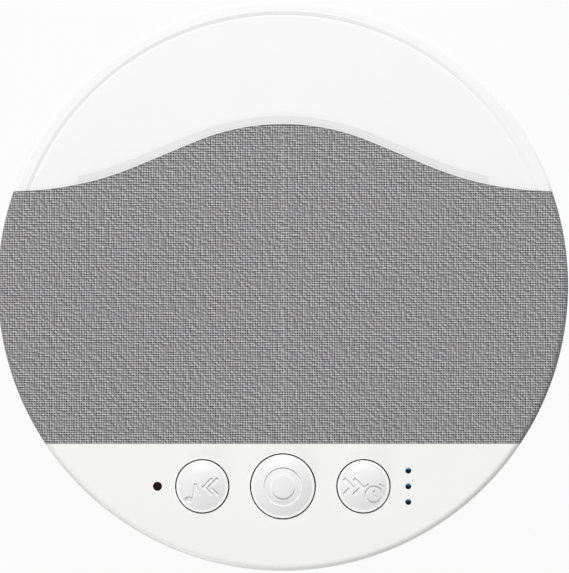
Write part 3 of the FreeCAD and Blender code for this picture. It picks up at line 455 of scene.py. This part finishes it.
def woven(name):
    """A plain weave. Threads wander a little, and each corner between four of them is a dark pore. Each
    thread is painted darker from its crown towards its edges, as painted shade.

    Polyester yarn is matt, with a faint sheen where it is seen at a flat angle.
    """
    material = new_material(name)
    flat = add(material, "UVMap", {}, uv_map="threads").outputs["UV"]
    sway = add(material, "TexNoise", {"Vector": flat, "Scale": 1 / thread_wander, "Detail": 1})
    spot = add(material, "VectorMath", {
        0: sway.outputs["Color"], 1: (thread_sway, thread_sway, 0), 2: flat,
    }, operation="MULTIPLY_ADD")
    along = add(material, "SeparateXYZ", {"Vector": spot.outputs["Vector"]})
    warp = calculate(material, "DIVIDE", along.outputs["X"], warp_pitch)
    weft = calculate(material, "DIVIDE", along.outputs["Y"], weft_pitch)
    across_warp = calculate(material, "PINGPONG", warp, 0.5)
    across_weft = calculate(material, "PINGPONG", weft, 0.5)
    corner = add(material, "CombineXYZ", {
        "X": calculate(material, "ROUND", warp), "Y": calculate(material, "ROUND", weft),
    })
    depth = add(material, "TexWhiteNoise", {"Vector": corner.outputs["Vector"]}, noise_dimensions="2D")
    size = ramp(material, depth.outputs["Value"], 0, 1, *pore_sizes)
    beyond_warp = calculate(material, "MULTIPLY", across_warp, warp_share)
    apart = calculate(material, "MULTIPLY_ADD", across_weft, weft_share, beyond_warp)
    # Dark at the pores, and falling off from each thread's crown towards its edges as painted shade.
    thread_cover_and_painted_shade = ramp(material, apart, pore_start, size)
    crossing = add(material, "CombineXYZ", {
        "X": calculate(material, "FLOOR", warp), "Y": calculate(material, "FLOOR", weft),
    })
    chance = add(material, "TexWhiteNoise", {"Vector": crossing.outputs["Vector"]}, noise_dimensions="2D")
    lively = ramp(material, chance.outputs["Value"], 0, 1, *yarn_tones)
    yarn = add(material, "Mix", {
        "Factor": calculate(material, "MULTIPLY", thread_cover_and_painted_shade, lively),
        "A": linear(cloth_dark), "B": linear(cloth_light),
    }, data_type="RGBA", clamp_factor=False)
    straight = add(material, "SeparateXYZ", {"Vector": flat})
    beside = calculate(material, "ABSOLUTE", straight.outputs["X"])
    stitch = calculate(material, "PINGPONG", straight.outputs["Y"], stitch_length)
    near = ramp(material, beside, warp_pitch * stitch_core, warp_pitch * stitch_end, stitch_cover, 0)
    sewn = ramp(material, stitch, stitch_length * stitch_core, stitch_length * stitch_end)
    # The stitches follow the same pores and painted shade.
    lit = calculate(material, "MULTIPLY_ADD", thread_cover_and_painted_shade, stitch_gain, stitch_low)
    faint = calculate(material, "MULTIPLY", calculate(material, "MULTIPLY", near, sewn), lit)
    colour = add(material, "Mix", {
        "Factor": faint, "A": yarn.outputs["Result"], "B": linear(seam_light),
    }, data_type="RGBA")
    turns = calculate(material, "ADD", calculate(material, "FLOOR", warp), calculate(material, "FLOOR", weft))
    over = calculate(material, "PINGPONG", turns, 1)
    crown = add(material, "Mix", {"Factor": over, "A": across_warp, "B": across_weft})
    bump = add(material, "Bump", {
        "Height": crown.outputs["Result"], "Strength": 0.35, "Distance": thread_relief,
    })
    return shade(
        material, Base_Color=colour.outputs["Result"], Roughness=0.85, Normal=bump.outputs["Normal"],
        Sheen_Weight=0.1, Sheen_Roughness=0.5, Specular_IOR_Level=0.25,
    )


cloth_area = sum(face.calc_area() for face in cloth.faces) / 2
cloth_piece = add_piece(
    "grille_cloth_woven", cloth, woven("polyester_plain_woven_grey"), ["grille_cloth"],
)

# Push buttons: three caps of moulded white ABS on carriers coloured black as painted shade, which show as a
# dark ring in each gap.
# The flat rim of a cap is polished, with a painted highlight, and the domed middle is frosted. Their signs
# are sunk 0.3 mm into it:
# a ring, a note with two arrows back, and two arrows on with an alarm clock.
cap_rim_height = 0.4 * mm
cap_rim_width = 0.5 * mm
cap_rim_round = 0.1 * mm
cap_dome_ratio = 2.7
sign_depth = 0.3 * mm
ring_radii = (2.35 * mm, 4.05 * mm)
arrow_reach = 1.96 * mm
back_tips = (-0.1 * mm, 1.05 * mm)
back_stroke = 0.66 * mm
note_head = (-2.7 * mm, -2.7 * mm)
note_head_radii = (0.95 * mm, 0.72 * mm)
note_stem = ((-1.95 * mm, -2.75 * mm), (-1.45 * mm, 0.75 * mm))
stem_stroke = 0.42 * mm
on_tips = (-1.87 * mm, 0.2 * mm)
on_stroke = 0.8 * mm
clock_place = (2.16 * mm, -1.7 * mm)
clock_radii = (1.44 * mm, 1.95 * mm)
ear_reach = 2.5 * mm
ear_half = 0.55 * mm
ear_stroke = 0.4 * mm
ear_turn = math.radians(50)
minute_hand = (0, 0.95 * mm)
hour_hand = (0.5 * mm, -0.6 * mm)
hand_stroke = 0.36 * mm
sign_flat_turn = math.radians(0.02)
speck_size = 0.3 * mm
speck_relief = 0.001 * mm


def arc(centre, radius, start, end, steps):
    """Points along an arc of a half section, with angles in degrees from the upright."""
    return [
        centre + radius * Vector((math.sin(math.radians(turn)), math.cos(math.radians(turn))))
        for turn in (start + (end - start) * step / steps for step in range(steps + 1))
    ]


def cap_blank(radius, bottom, sink=0, ring=()):
    """A cap with a flat rim and a domed top. It may lie sunk, and may have a sunk ring with given radii."""
    dome = cap_dome_ratio * radius
    foot = radius - cap_rim_width
    rim_top = case_top + cap_rim_height - sink
    centre = Vector((0, rim_top - math.sqrt(dome**2 - foot**2)))
    profile = [Vector((0, bottom)), Vector((radius, bottom))]
    profile += arc(Vector((radius - cap_rim_round, rim_top - cap_rim_round)), cap_rim_round, 90, 0, steps=4)
    start = math.degrees(math.asin(foot / dome))
    for edge, depth in zip(reversed(ring), (0, sign_depth)):
        turn = math.degrees(math.asin(edge / dome))
        profile += arc(centre, dome - depth, start, turn, steps=8)
        start = turn
    profile += arc(centre, dome, start, 0, steps=12)
    return turned(profile, steps=128)


def arrow(tip, way, stroke):
    """The outline of an arrowhead with square ends: way is 1 if its arms run to the right."""
    step = stroke * math.sqrt(0.5)
    upper = [
        (tip + way * arrow_reach, arrow_reach),
        (tip + way * (arrow_reach + step), arrow_reach - step),
    ]
    inner = (tip + way * 2 * step, 0)
    lower = [(x, -y) for x, y in reversed(upper)]
    return [(tip, 0), *upper, inner, *lower]


def bar(start, end, stroke):
    """The outline of a straight stroke."""
    start, end = Vector(start), Vector(end)
    side = (end - start).orthogonal().normalized() * stroke / 2
    return [start + side, start - side, end - side, end + side]


def disc(centre, wide, high, steps=32):
    """The outline of an oval."""
    turns = [math.tau * step / steps for step in range(steps)]
    return [(centre[0] + wide * math.cos(turn), centre[1] + high * math.sin(turn)) for turn in turns]


note_flag = [
    (-1.65 * mm, 0.75 * mm), (-1.2 * mm, 0.75 * mm), (-0.55 * mm, -0.6 * mm), (-0.3 * mm, -1.8 * mm),
    (-0.75 * mm, -2.1 * mm), (-0.95 * mm, -1.1 * mm), (-1.3 * mm, -0.3 * mm), (-1.65 * mm, -0.1 * mm),
]
back_sign = [
    *[arrow(tip, 1, back_stroke) for tip in back_tips],
    disc(note_head, *note_head_radii),
    bar(*note_stem, stem_stroke),
    note_flag,
]


def ear(side):
    """The outline of one of the clock's ears: side is 1 for the right one."""
    middle = Vector((side * math.cos(ear_turn), math.sin(ear_turn))) * ear_reach + Vector(clock_place)
    along = Vector((side * math.sin(ear_turn), -math.cos(ear_turn))) * ear_half
    return bar(middle - along, middle + along, ear_stroke)


clock_x, clock_y = clock_place
on_sign = [
    *[arrow(tip, -1, on_stroke) for tip in on_tips],
    ear(-1),
    ear(1),
    *[bar(clock_place, (clock_x + x, clock_y + y), hand_stroke) for x, y in (minute_hand, hour_hand)],
]


def frosted_face_painted_rim(name, colour, rim_painted_highlight, roughness, rim_roughness):
    """White plastic, frosted in the middle and glossy on its polished rim, whose lighter colour is a painted
    highlight.

    The two are told apart by the frosted attribute, and faint specks break up their gloss.
    """
    material = new_material(name)
    place = add(material, "TexCoord", {}).outputs["Object"]
    frosted = add(material, "Attribute", {}, attribute_name="frosted").outputs["Fac"]
    specks = add(material, "TexNoise", {"Vector": place, "Scale": 1 / speck_size, "Detail": 1}).outputs["Fac"]
    # The rim's lighter colour is a painted highlight.
    tone = add(material, "Mix", {
        "Factor": frosted, "A": linear(rim_painted_highlight), "B": linear(colour),
    }, data_type="RGBA")
    matt = add(material, "Mix", {"Factor": frosted, "A": rim_roughness, "B": roughness}).outputs["Result"]
    speckle = ramp(material, specks, 0, 1, 1 - gloss_spread, 1 + gloss_spread)
    gloss = calculate(material, "MULTIPLY", matt, speckle)
    bump = add(material, "Bump", {"Height": specks, "Strength": 0.5, "Distance": speck_relief})
    return shade(
        material, Base_Color=tone.outputs["Result"], Roughness=gloss, Normal=bump.outputs["Normal"],
        IOR=abs_index,
    )


def middle_of(node):
    """Where the middle of a CAD piece lies, seen from above."""
    low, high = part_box(node)
    return (low.x + high.x) / 2, (low.y + high.y) / 2


cap_plastic = frosted_face_painted_rim(
    "abs_moulded_white_frosted_face", "#ececec", "#fbfbfb", roughness=0.34, rim_roughness=0.18,
)
for key, sign in (("previous", back_sign), ("power", []), ("next", on_sign)):
    low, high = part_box(f"{key}_button_cap")
    cap_radius = (high.x - low.x) / 2
    cap = cap_blank(cap_radius, low.z, ring=ring_radii if key == "power" else ())
    if sign:
        above = high.z + sign_depth
        mark = prism(sign[0], low.z, above)
        more = [prism(outline, low.z, above) for outline in sign[1:]]
        if key == "next":
            inner, outer = clock_radii
            dial = [(inner, low.z), (outer, low.z), (outer, above), (inner, above)]
            more.append(at(turned(dial, steps=48), *clock_place))
        mark = fitted("UNION", mark, *more)
        core = cap_blank(cap_radius, low.z - sign_depth, sink=sign_depth)
        cap = fitted("DIFFERENCE", cap, fitted("DIFFERENCE", mark, core))
        bmesh.ops.dissolve_limit(cap, angle_limit=sign_flat_turn, verts=cap.verts, edges=cap.edges)
    frost = cap.loops.layers.float.new("frosted")
    for face in cap.faces:
        for loop in face.loops:
            loop[frost] = face.calc_center_median().xy.length < cap_radius - cap_rim_width
    at(cap, *middle_of(f"{key}_button_cap"))
    add_piece(
        f"{key}_button_cap_moulded", cap, cap_plastic, [f"{key}_button_cap"],
        body=f"{key}_button",
    )

# Lamp windows: one smoked red and three blue light guides of clear acrylic, pressed in from below.
# Their tips are ground flat with a small round edge. Unlit, the depth of the plastic makes them nearly black,
# and the rear half of each tip is painted lighter as a painted glow.
window_round = 0.12 * mm
charge_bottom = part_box("charge_light_lens")[0].z
timer_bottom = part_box("timer_light_lenses")[0].z
panel_inner = case_top - wall
collar_depth = 0.8 * mm
collar_side = 0.7 * mm
charge_radius = 0.95 * mm
timer_radius = 0.63 * mm
timer_pitch = 3.28 * mm
charge_span = 8 * mm
painted_glow_start = 0.05 * mm
painted_glow_end = 0.6 * mm


def light_guide(radius, bottom):
    """A round light guide with a collar that rests under the panel."""
    return turned(rounded([
        (0, bottom), (radius, bottom), (radius, panel_inner - collar_depth),
        (radius + collar_side, panel_inner - collar_depth), (radius + collar_side, panel_inner),
        (radius, panel_inner), (radius, case_top, window_round), (0, case_top),
    ], steps=4), steps=48)


def tinted(name, colour, deep, middle, pitch):
    """Clear tinted acrylic: nearly black and glossy, with a painted glow that makes the rear half of each
    guide lighter.

    The pattern repeats along Y at a pitch, from the middle of one guide to the middle of the next.
    """
    material = new_material(name)
    place = add(material, "TexCoord", {}).outputs["Object"]
    across = add(material, "SeparateXYZ", {"Vector": place}).outputs["Y"]
    start = calculate(material, "SUBTRACT", across, middle - pitch / 2)
    local = calculate(material, "FLOORED_MODULO", start, pitch)
    # Painted glow: from just behind the middle of each guide, the colour goes from the deep tone to the
    # lighter one.
    lit = add(material, "MapRange", {
        "Value": local, "From Min": pitch / 2 + painted_glow_start, "From Max": pitch / 2 + painted_glow_end,
    }, interpolation_type="SMOOTHSTEP")
    tone = add(material, "Mix", {
        "Factor": lit.outputs["Result"], "A": linear(deep), "B": linear(colour),
    }, data_type="RGBA")
    return shade(
        material, Base_Color=tone.outputs["Result"], Roughness=0.08, IOR=acrylic_index,
        Specular_IOR_Level=0.12,
    )


# In each guide the first colour is a painted glow on its rear half, and the second is the deep tone of the
# plastic.
charge_x, charge_y = middle_of("charge_light_lens")
red_acrylic = tinted("acrylic_smoked_red", "#22060a", "#120203", charge_y, charge_span)
add_piece(
    "charge_light_guide", at(light_guide(charge_radius, charge_bottom), charge_x, charge_y), red_acrylic,
    ["charge_light_lens"],
)
timer_x, timer_y = middle_of("timer_light_lenses")
guides = joined(
    at(light_guide(timer_radius, timer_bottom), timer_x, timer_y + step * timer_pitch) for step in (-1, 0, 1)
)
blue_acrylic = tinted("acrylic_blue", "#4b9dbd", "#04101f", timer_y, timer_pitch)
add_piece("timer_light_guides", guides, blue_acrylic, ["timer_light_lenses"])

# Charging port: a deep-drawn shell of nickel-plated steel that stands 0.3 mm clear in its window.
# Its edges are rounded by the drawing, and the black nylon tongue inside carries the contacts.
port_edge = 0.08 * mm
mark_length = 8
mark_spread = 0.3


def metal(name, colour, dark, roughness, grain):
    """Plated or bare metal, whose fine marks along X stretch its reflections and change its tone a little."""
    material = new_material(name)
    place = add(material, "TexCoord", {}).outputs["Object"]
    stretched = add(material, "Mapping", {"Vector": place, "Scale": (1, mark_length, mark_length)})
    marks = add(material, "TexNoise", {
        "Vector": stretched.outputs["Vector"], "Scale": 1 / grain, "Detail": 2,
    })
    tone = add(material, "Mix", {
        "Factor": marks.outputs["Fac"], "A": linear(colour), "B": linear(dark),
    }, data_type="RGBA")
    gloss = add(material, "MapRange", {
        "Value": marks.outputs["Fac"],
        "To Min": roughness * (1 - mark_spread), "To Max": roughness * (1 + mark_spread),
    })
    return shade(material, Base_Color=tone.outputs["Result"], Roughness=gloss.outputs["Result"], Metallic=1.0)


plated_steel = metal("steel_nickel_plated", "#c9c8c4", "#b3b1ac", roughness=0.28, grain=1.5 * mm)
add_piece(
    "charge_port_shell_drawn", soften(copied("charge_port_shell"), port_edge, segments=2), plated_steel,
    ["charge_port_shell"],
)

# Inner pieces keep the shapes of the construction and get the finish of what they are made of.
# They are hidden by the case and show only when it is opened.


def dress(material, *names):
    """Give CAD pieces a material."""
    for name in names:
        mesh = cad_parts[name].data
        mesh.materials.clear()
        mesh.materials.append(material)


# Moulded plastics: an even satin with faint clouds. Ivory nylon is yellowish, and the others nearly black.
# The button carriers are coloured black as painted shade, so the gaps round the caps read dark.
carrier_black_painted_shade = moulded("abs_moulded_black_painted_shade", "#141414", "#1b1b1b", roughness=0.5)
dress(carrier_black_painted_shade, "power_button_carrier", "previous_button_carrier", "next_button_carrier")
grille_plastic = moulded("abs_moulded_dark_grey", "#2c2c2d", "#343435", roughness=0.55)
dress(grille_plastic, "grille_panel")
nylon_black = moulded("nylon_moulded_black", "#181818", "#202020", roughness=0.45)
dress(nylon_black, "charge_port_tongue", "switch_bodies")
nylon_ivory = moulded("nylon_moulded_ivory", "#e9e4d2", "#dfd8c2", roughness=0.45)
dress(
    nylon_ivory, "board_connectors", "power_switch_plunger", "previous_switch_plunger", "next_switch_plunger",
    "speaker_terminals",
)
chip_epoxy = moulded("epoxy_moulded_black", "#17181a", "#1f2022", roughness=0.6)
dress(chip_epoxy, "control_chip", "amplifier_chip")

# Lamps: clear silicone over yellow phosphor, so they are pale yellow and wet-looking.
lamp_silicone = moulded("silicone_over_phosphor", "#f3e7a4", "#e7d278", roughness=0.25)
dress(lamp_silicone, "night_light_lamps", "charge_lamp", "timer_lamps")

# Metals: zinc is bluish, nickel is warm, drawn aluminium is pale, and turned steel is darker and less glossy.
zinc_plating = metal("steel_zinc_plated", "#b9bcc0", "#9a9da1", roughness=0.32, grain=0.8 * mm)
dress(zinc_plating, "case_screws", "board_screws", "speaker_screws")
nickel_strip = metal("nickel_strip", "#c4c0b4", "#aaa698", roughness=0.3, grain=0.8 * mm)
dress(nickel_strip, "battery_contacts")
drawn_aluminium = metal("aluminium_drawn", "#c7c9cc", "#aeb0b3", roughness=0.3, grain=0.8 * mm)
dress(drawn_aluminium, "board_capacitors")
turned_steel = metal("steel_turned", "#8e9092", "#77797b", roughness=0.4, grain=0.6 * mm)
dress(turned_steel, "speaker_yoke", "speaker_top_plate")

# Loudspeaker: enamel with a clear gloss, a magnet like dark stone, dull rubber and fully matt foam.
dress(moulded("steel_enamelled_black", "#121212", "#1a1a1a", roughness=0.35), "speaker_basket")
dress(moulded("ferrite_sintered", "#2a2a2c", "#353437", roughness=0.7, grain=0.3 * mm), "speaker_magnet")
dress(moulded("rubber_pressed_black", "#161616", "#1e1e1e", roughness=0.7), "speaker_surround")
dress(moulded("foam_cut_black", "#202020", "#2c2c2c", roughness=0.95, grain=0.5 * mm), "speaker_gasket")

# Films: smooth and glossy, in white on the flat cable and blue round the cell.
dress(moulded("polyester_film_white", "#ececea", "#e0e0dd", roughness=0.3), "control_ribbon")
dress(moulded("shrink_film_blue", "#2a5fa8", "#2f68b3", roughness=0.22), "battery_cell")

fibre_size = 0.8 * mm
fibre_relief = 0.05 * mm


def pressed_paper(name, colour, fibre):
    """Paper pulp pressed to shape: matt, and mottled by fibres that lie every way."""
    material = new_material(name)
    place = add(material, "TexCoord", {}).outputs["Object"]
    fibres = add(material, "TexNoise", {
        "Vector": place, "Scale": 1 / fibre_size, "Detail": 6, "Roughness": 0.7, "Distortion": 1.5,
    })
    tone = add(material, "Mix", {
        "Factor": fibres.outputs["Fac"], "A": linear(colour), "B": linear(fibre),
    }, data_type="RGBA")
    bump = add(material, "Bump", {"Height": fibres.outputs["Fac"], "Strength": 0.4, "Distance": fibre_relief})
    return shade(
        material, Base_Color=tone.outputs["Result"], Roughness=0.85, Normal=bump.outputs["Normal"],
    )


dress(pressed_paper("paper_pressed_black", "#1b1a19", "#2d2b29"), "speaker_cone", "dust_cap")

# A wave texture at a scale of 1 repeats after this period.
wave_period = math.tau / 20
band_relief = 0.05 * mm


def banded(name, colour, dark, spacing, axis, **sockets):
    """Fine bands square to an axis, painted lighter on their crowns and darker between them as painted shade:
    windings of wire, or threads stiff with resin.
    """
    material = new_material(name)
    place = add(material, "TexCoord", {}).outputs["Object"]
    bands = add(material, "TexWave", {
        "Vector": place, "Scale": wave_period / spacing, "Distortion": 0.2,
    }, bands_direction=axis)
    # The dark colour between the bands is painted shade, and the light one on their crowns a painted
    # highlight.
    tone = add(material, "Mix", {
        "Factor": bands.outputs["Fac"], "A": linear(dark), "B": linear(colour),
    }, data_type="RGBA")
    bump = add(material, "Bump", {"Height": bands.outputs["Fac"], "Strength": 0.5, "Distance": band_relief})
    return shade(material, Base_Color=tone.outputs["Result"], Normal=bump.outputs["Normal"], **sockets)


copper_wire = banded("copper_wire_wound", "#b9713c", "#7a3f1c", 0.2 * mm, "Z", Roughness=0.3, Metallic=1.0)
dress(copper_wire, "voice_coil")
dress(banded("cotton_resin_dipped", "#b98b3d", "#946a26", 0.4 * mm, "X", Roughness=0.7), "speaker_spider")

track_area = 6 * mm
track_relief = 0.03 * mm
epoxy_index = 1.55


def circuit_board(name):
    """Glossy green solder mask over copper tracks, which show as lighter lines that stand a little proud."""
    material = new_material(name)
    place = add(material, "TexCoord", {}).outputs["Object"]
    tracks = add(material, "TexBrick", {
        "Vector": place,
        "Color1": linear("#1c5a38"), "Color2": linear("#206440"), "Mortar": linear("#2f7d52"),
        "Scale": 1 / track_area, "Mortar Size": 0.03, "Brick Width": 0.9, "Row Height": 0.35,
    })
    bump = add(material, "Bump", {"Height": tracks.outputs["Fac"], "Strength": 0.3, "Distance": track_relief})
    return shade(
        material, Base_Color=tracks.outputs["Color"], Roughness=0.3, Normal=bump.outputs["Normal"],
        IOR=epoxy_index,
    )


board_epoxy = circuit_board("epoxy_glass_green_mask")
dress(board_epoxy, "main_board", "control_board", "night_light_board", "charge_port_board")

scuff_size = 2 * mm


def lead_sleeves(name, middle):
    """A pair of leads in soft, half glossy PVC: red on the right of their middle line, black on the left."""
    material = new_material(name)
    place = add(material, "TexCoord", {}).outputs["Object"]
    side = add(material, "SeparateXYZ", {"Vector": place}).outputs["X"]
    right = calculate(material, "GREATER_THAN", side, middle)
    scuffs = add(material, "TexNoise", {"Vector": place, "Scale": 1 / scuff_size, "Detail": 2})
    tone = add(material, "Mix", {
        "Factor": right, "A": linear("#161616"), "B": linear("#a81c1c"),
    }, data_type="RGBA")
    gloss = add(material, "MapRange", {"Value": scuffs.outputs["Fac"], "To Min": 0.35, "To Max": 0.5})
    return shade(material, Base_Color=tone.outputs["Result"], Roughness=gloss.outputs["Result"])


for name in ("speaker_leads", "charge_leads", "light_leads", "battery_leads"):
    dress(lead_sleeves(f"pvc_{name}", middle_of(name)[0]), name)

# Studio: a pale floor, a soft key lamp from behind, and a small lamp near the floor in front on the left.
# The camera looks straight down from half a metre, as in the photograph, with the rear at the top.
# The photograph's height and the radius of the case in it, both in pixels, give the size of a pixel.
floor_size = 4
photo_height = 573
circle_radius = 285
pixel = outer_radius / circle_radius
lens_length = 150
lens_sensor = 36
aim = (0.34 * mm, -0.2 * mm, 44 * mm)
lamp_target = (0, 0, 40 * mm)
key_place = (-0.17, 1.14, 1.1)
low_place = (-0.4, -1.2, 0.2)
room_light = 0.3
floor_grey = (0.5, 0.5, 0.5, 1)
floor_glow = 0.95
white = (1, 1, 1, 1)


def aimed(thing, place, target):
    """Put a lamp or camera in its place, turned towards a target."""
    thing.location = place
    thing.rotation_euler = (Vector(target) - Vector(place)).to_track_quat("-Z", "Y").to_euler()
    bpy.context.scene.collection.objects.link(thing)
    return thing


def lamp(name, place, size, power):
    """A round soft lamp that shines on the object."""
    light = bpy.data.lights.new(name, "AREA")
    light.shape = "DISK"
    light.size = size
    light.energy = power
    return aimed(bpy.data.objects.new(name, light), place, lamp_target)


def looked_at(material):
    """1 where the camera, a reflection or clear plastic shows a surface, and 0 for the light it gives."""
    path = add(material, "LightPath", {})
    seen = calculate(material, "MAXIMUM", path.outputs["Is Camera Ray"], path.outputs["Is Glossy Ray"])
    return calculate(material, "MAXIMUM", seen, path.outputs["Is Transmission Ray"])


lamp("key", key_place, size=0.5, power=24)
lamp("low_front", low_place, size=0.3, power=6)

floor_shape = bmesh.new()
bmesh.ops.create_grid(floor_shape, x_segments=1, y_segments=1, size=floor_size / 2)
floor_mesh = bpy.data.meshes.new("floor")
floor_shape.to_mesh(floor_mesh)
floor_shape.free()
floor = bpy.data.objects.new("floor", floor_mesh)
bpy.context.scene.collection.objects.link(floor)

# Matt floor paint: it looks nearly white with a faint shadow, and throws only a mid grey back on the object.
floor_paint = new_material("paint_matt_floor")
matt = add(floor_paint, "BsdfDiffuse", {"Color": floor_grey})
glow = add(floor_paint, "Emission", {"Color": white, "Strength": 1.0})
mixed = add(floor_paint, "MixShader", {
    "Fac": calculate(floor_paint, "MULTIPLY", looked_at(floor_paint), floor_glow),
    1: matt.outputs["BSDF"], 2: glow.outputs["Emission"],
})
add(floor_paint, "OutputMaterial", {"Surface": mixed.outputs["Shader"]})
floor_mesh.materials.append(floor_paint)

world = bpy.data.worlds.new("studio")
bpy.context.scene.world = world
world.use_nodes = True
world.node_tree.nodes.clear()
level = add(world, "MapRange", {"Value": looked_at(world), "To Min": room_light, "To Max": 1.0})
sky = add(world, "Background", {"Color": white, "Strength": level.outputs["Result"]})
add(world, "OutputWorld", {"Surface": sky.outputs["Background"]})

camera = bpy.data.cameras.new("camera")
camera.lens = lens_length
camera.sensor_width = lens_sensor
height = lens_length / lens_sensor * photo_height * pixel
view = aimed(bpy.data.objects.new("camera", camera), (aim[0], aim[1], aim[2] + height), aim)
view.rotation_euler = (0, 0, 0)
bpy.context.scene.camera = view
bpy.context.scene.view_settings.view_transform = "Standard"
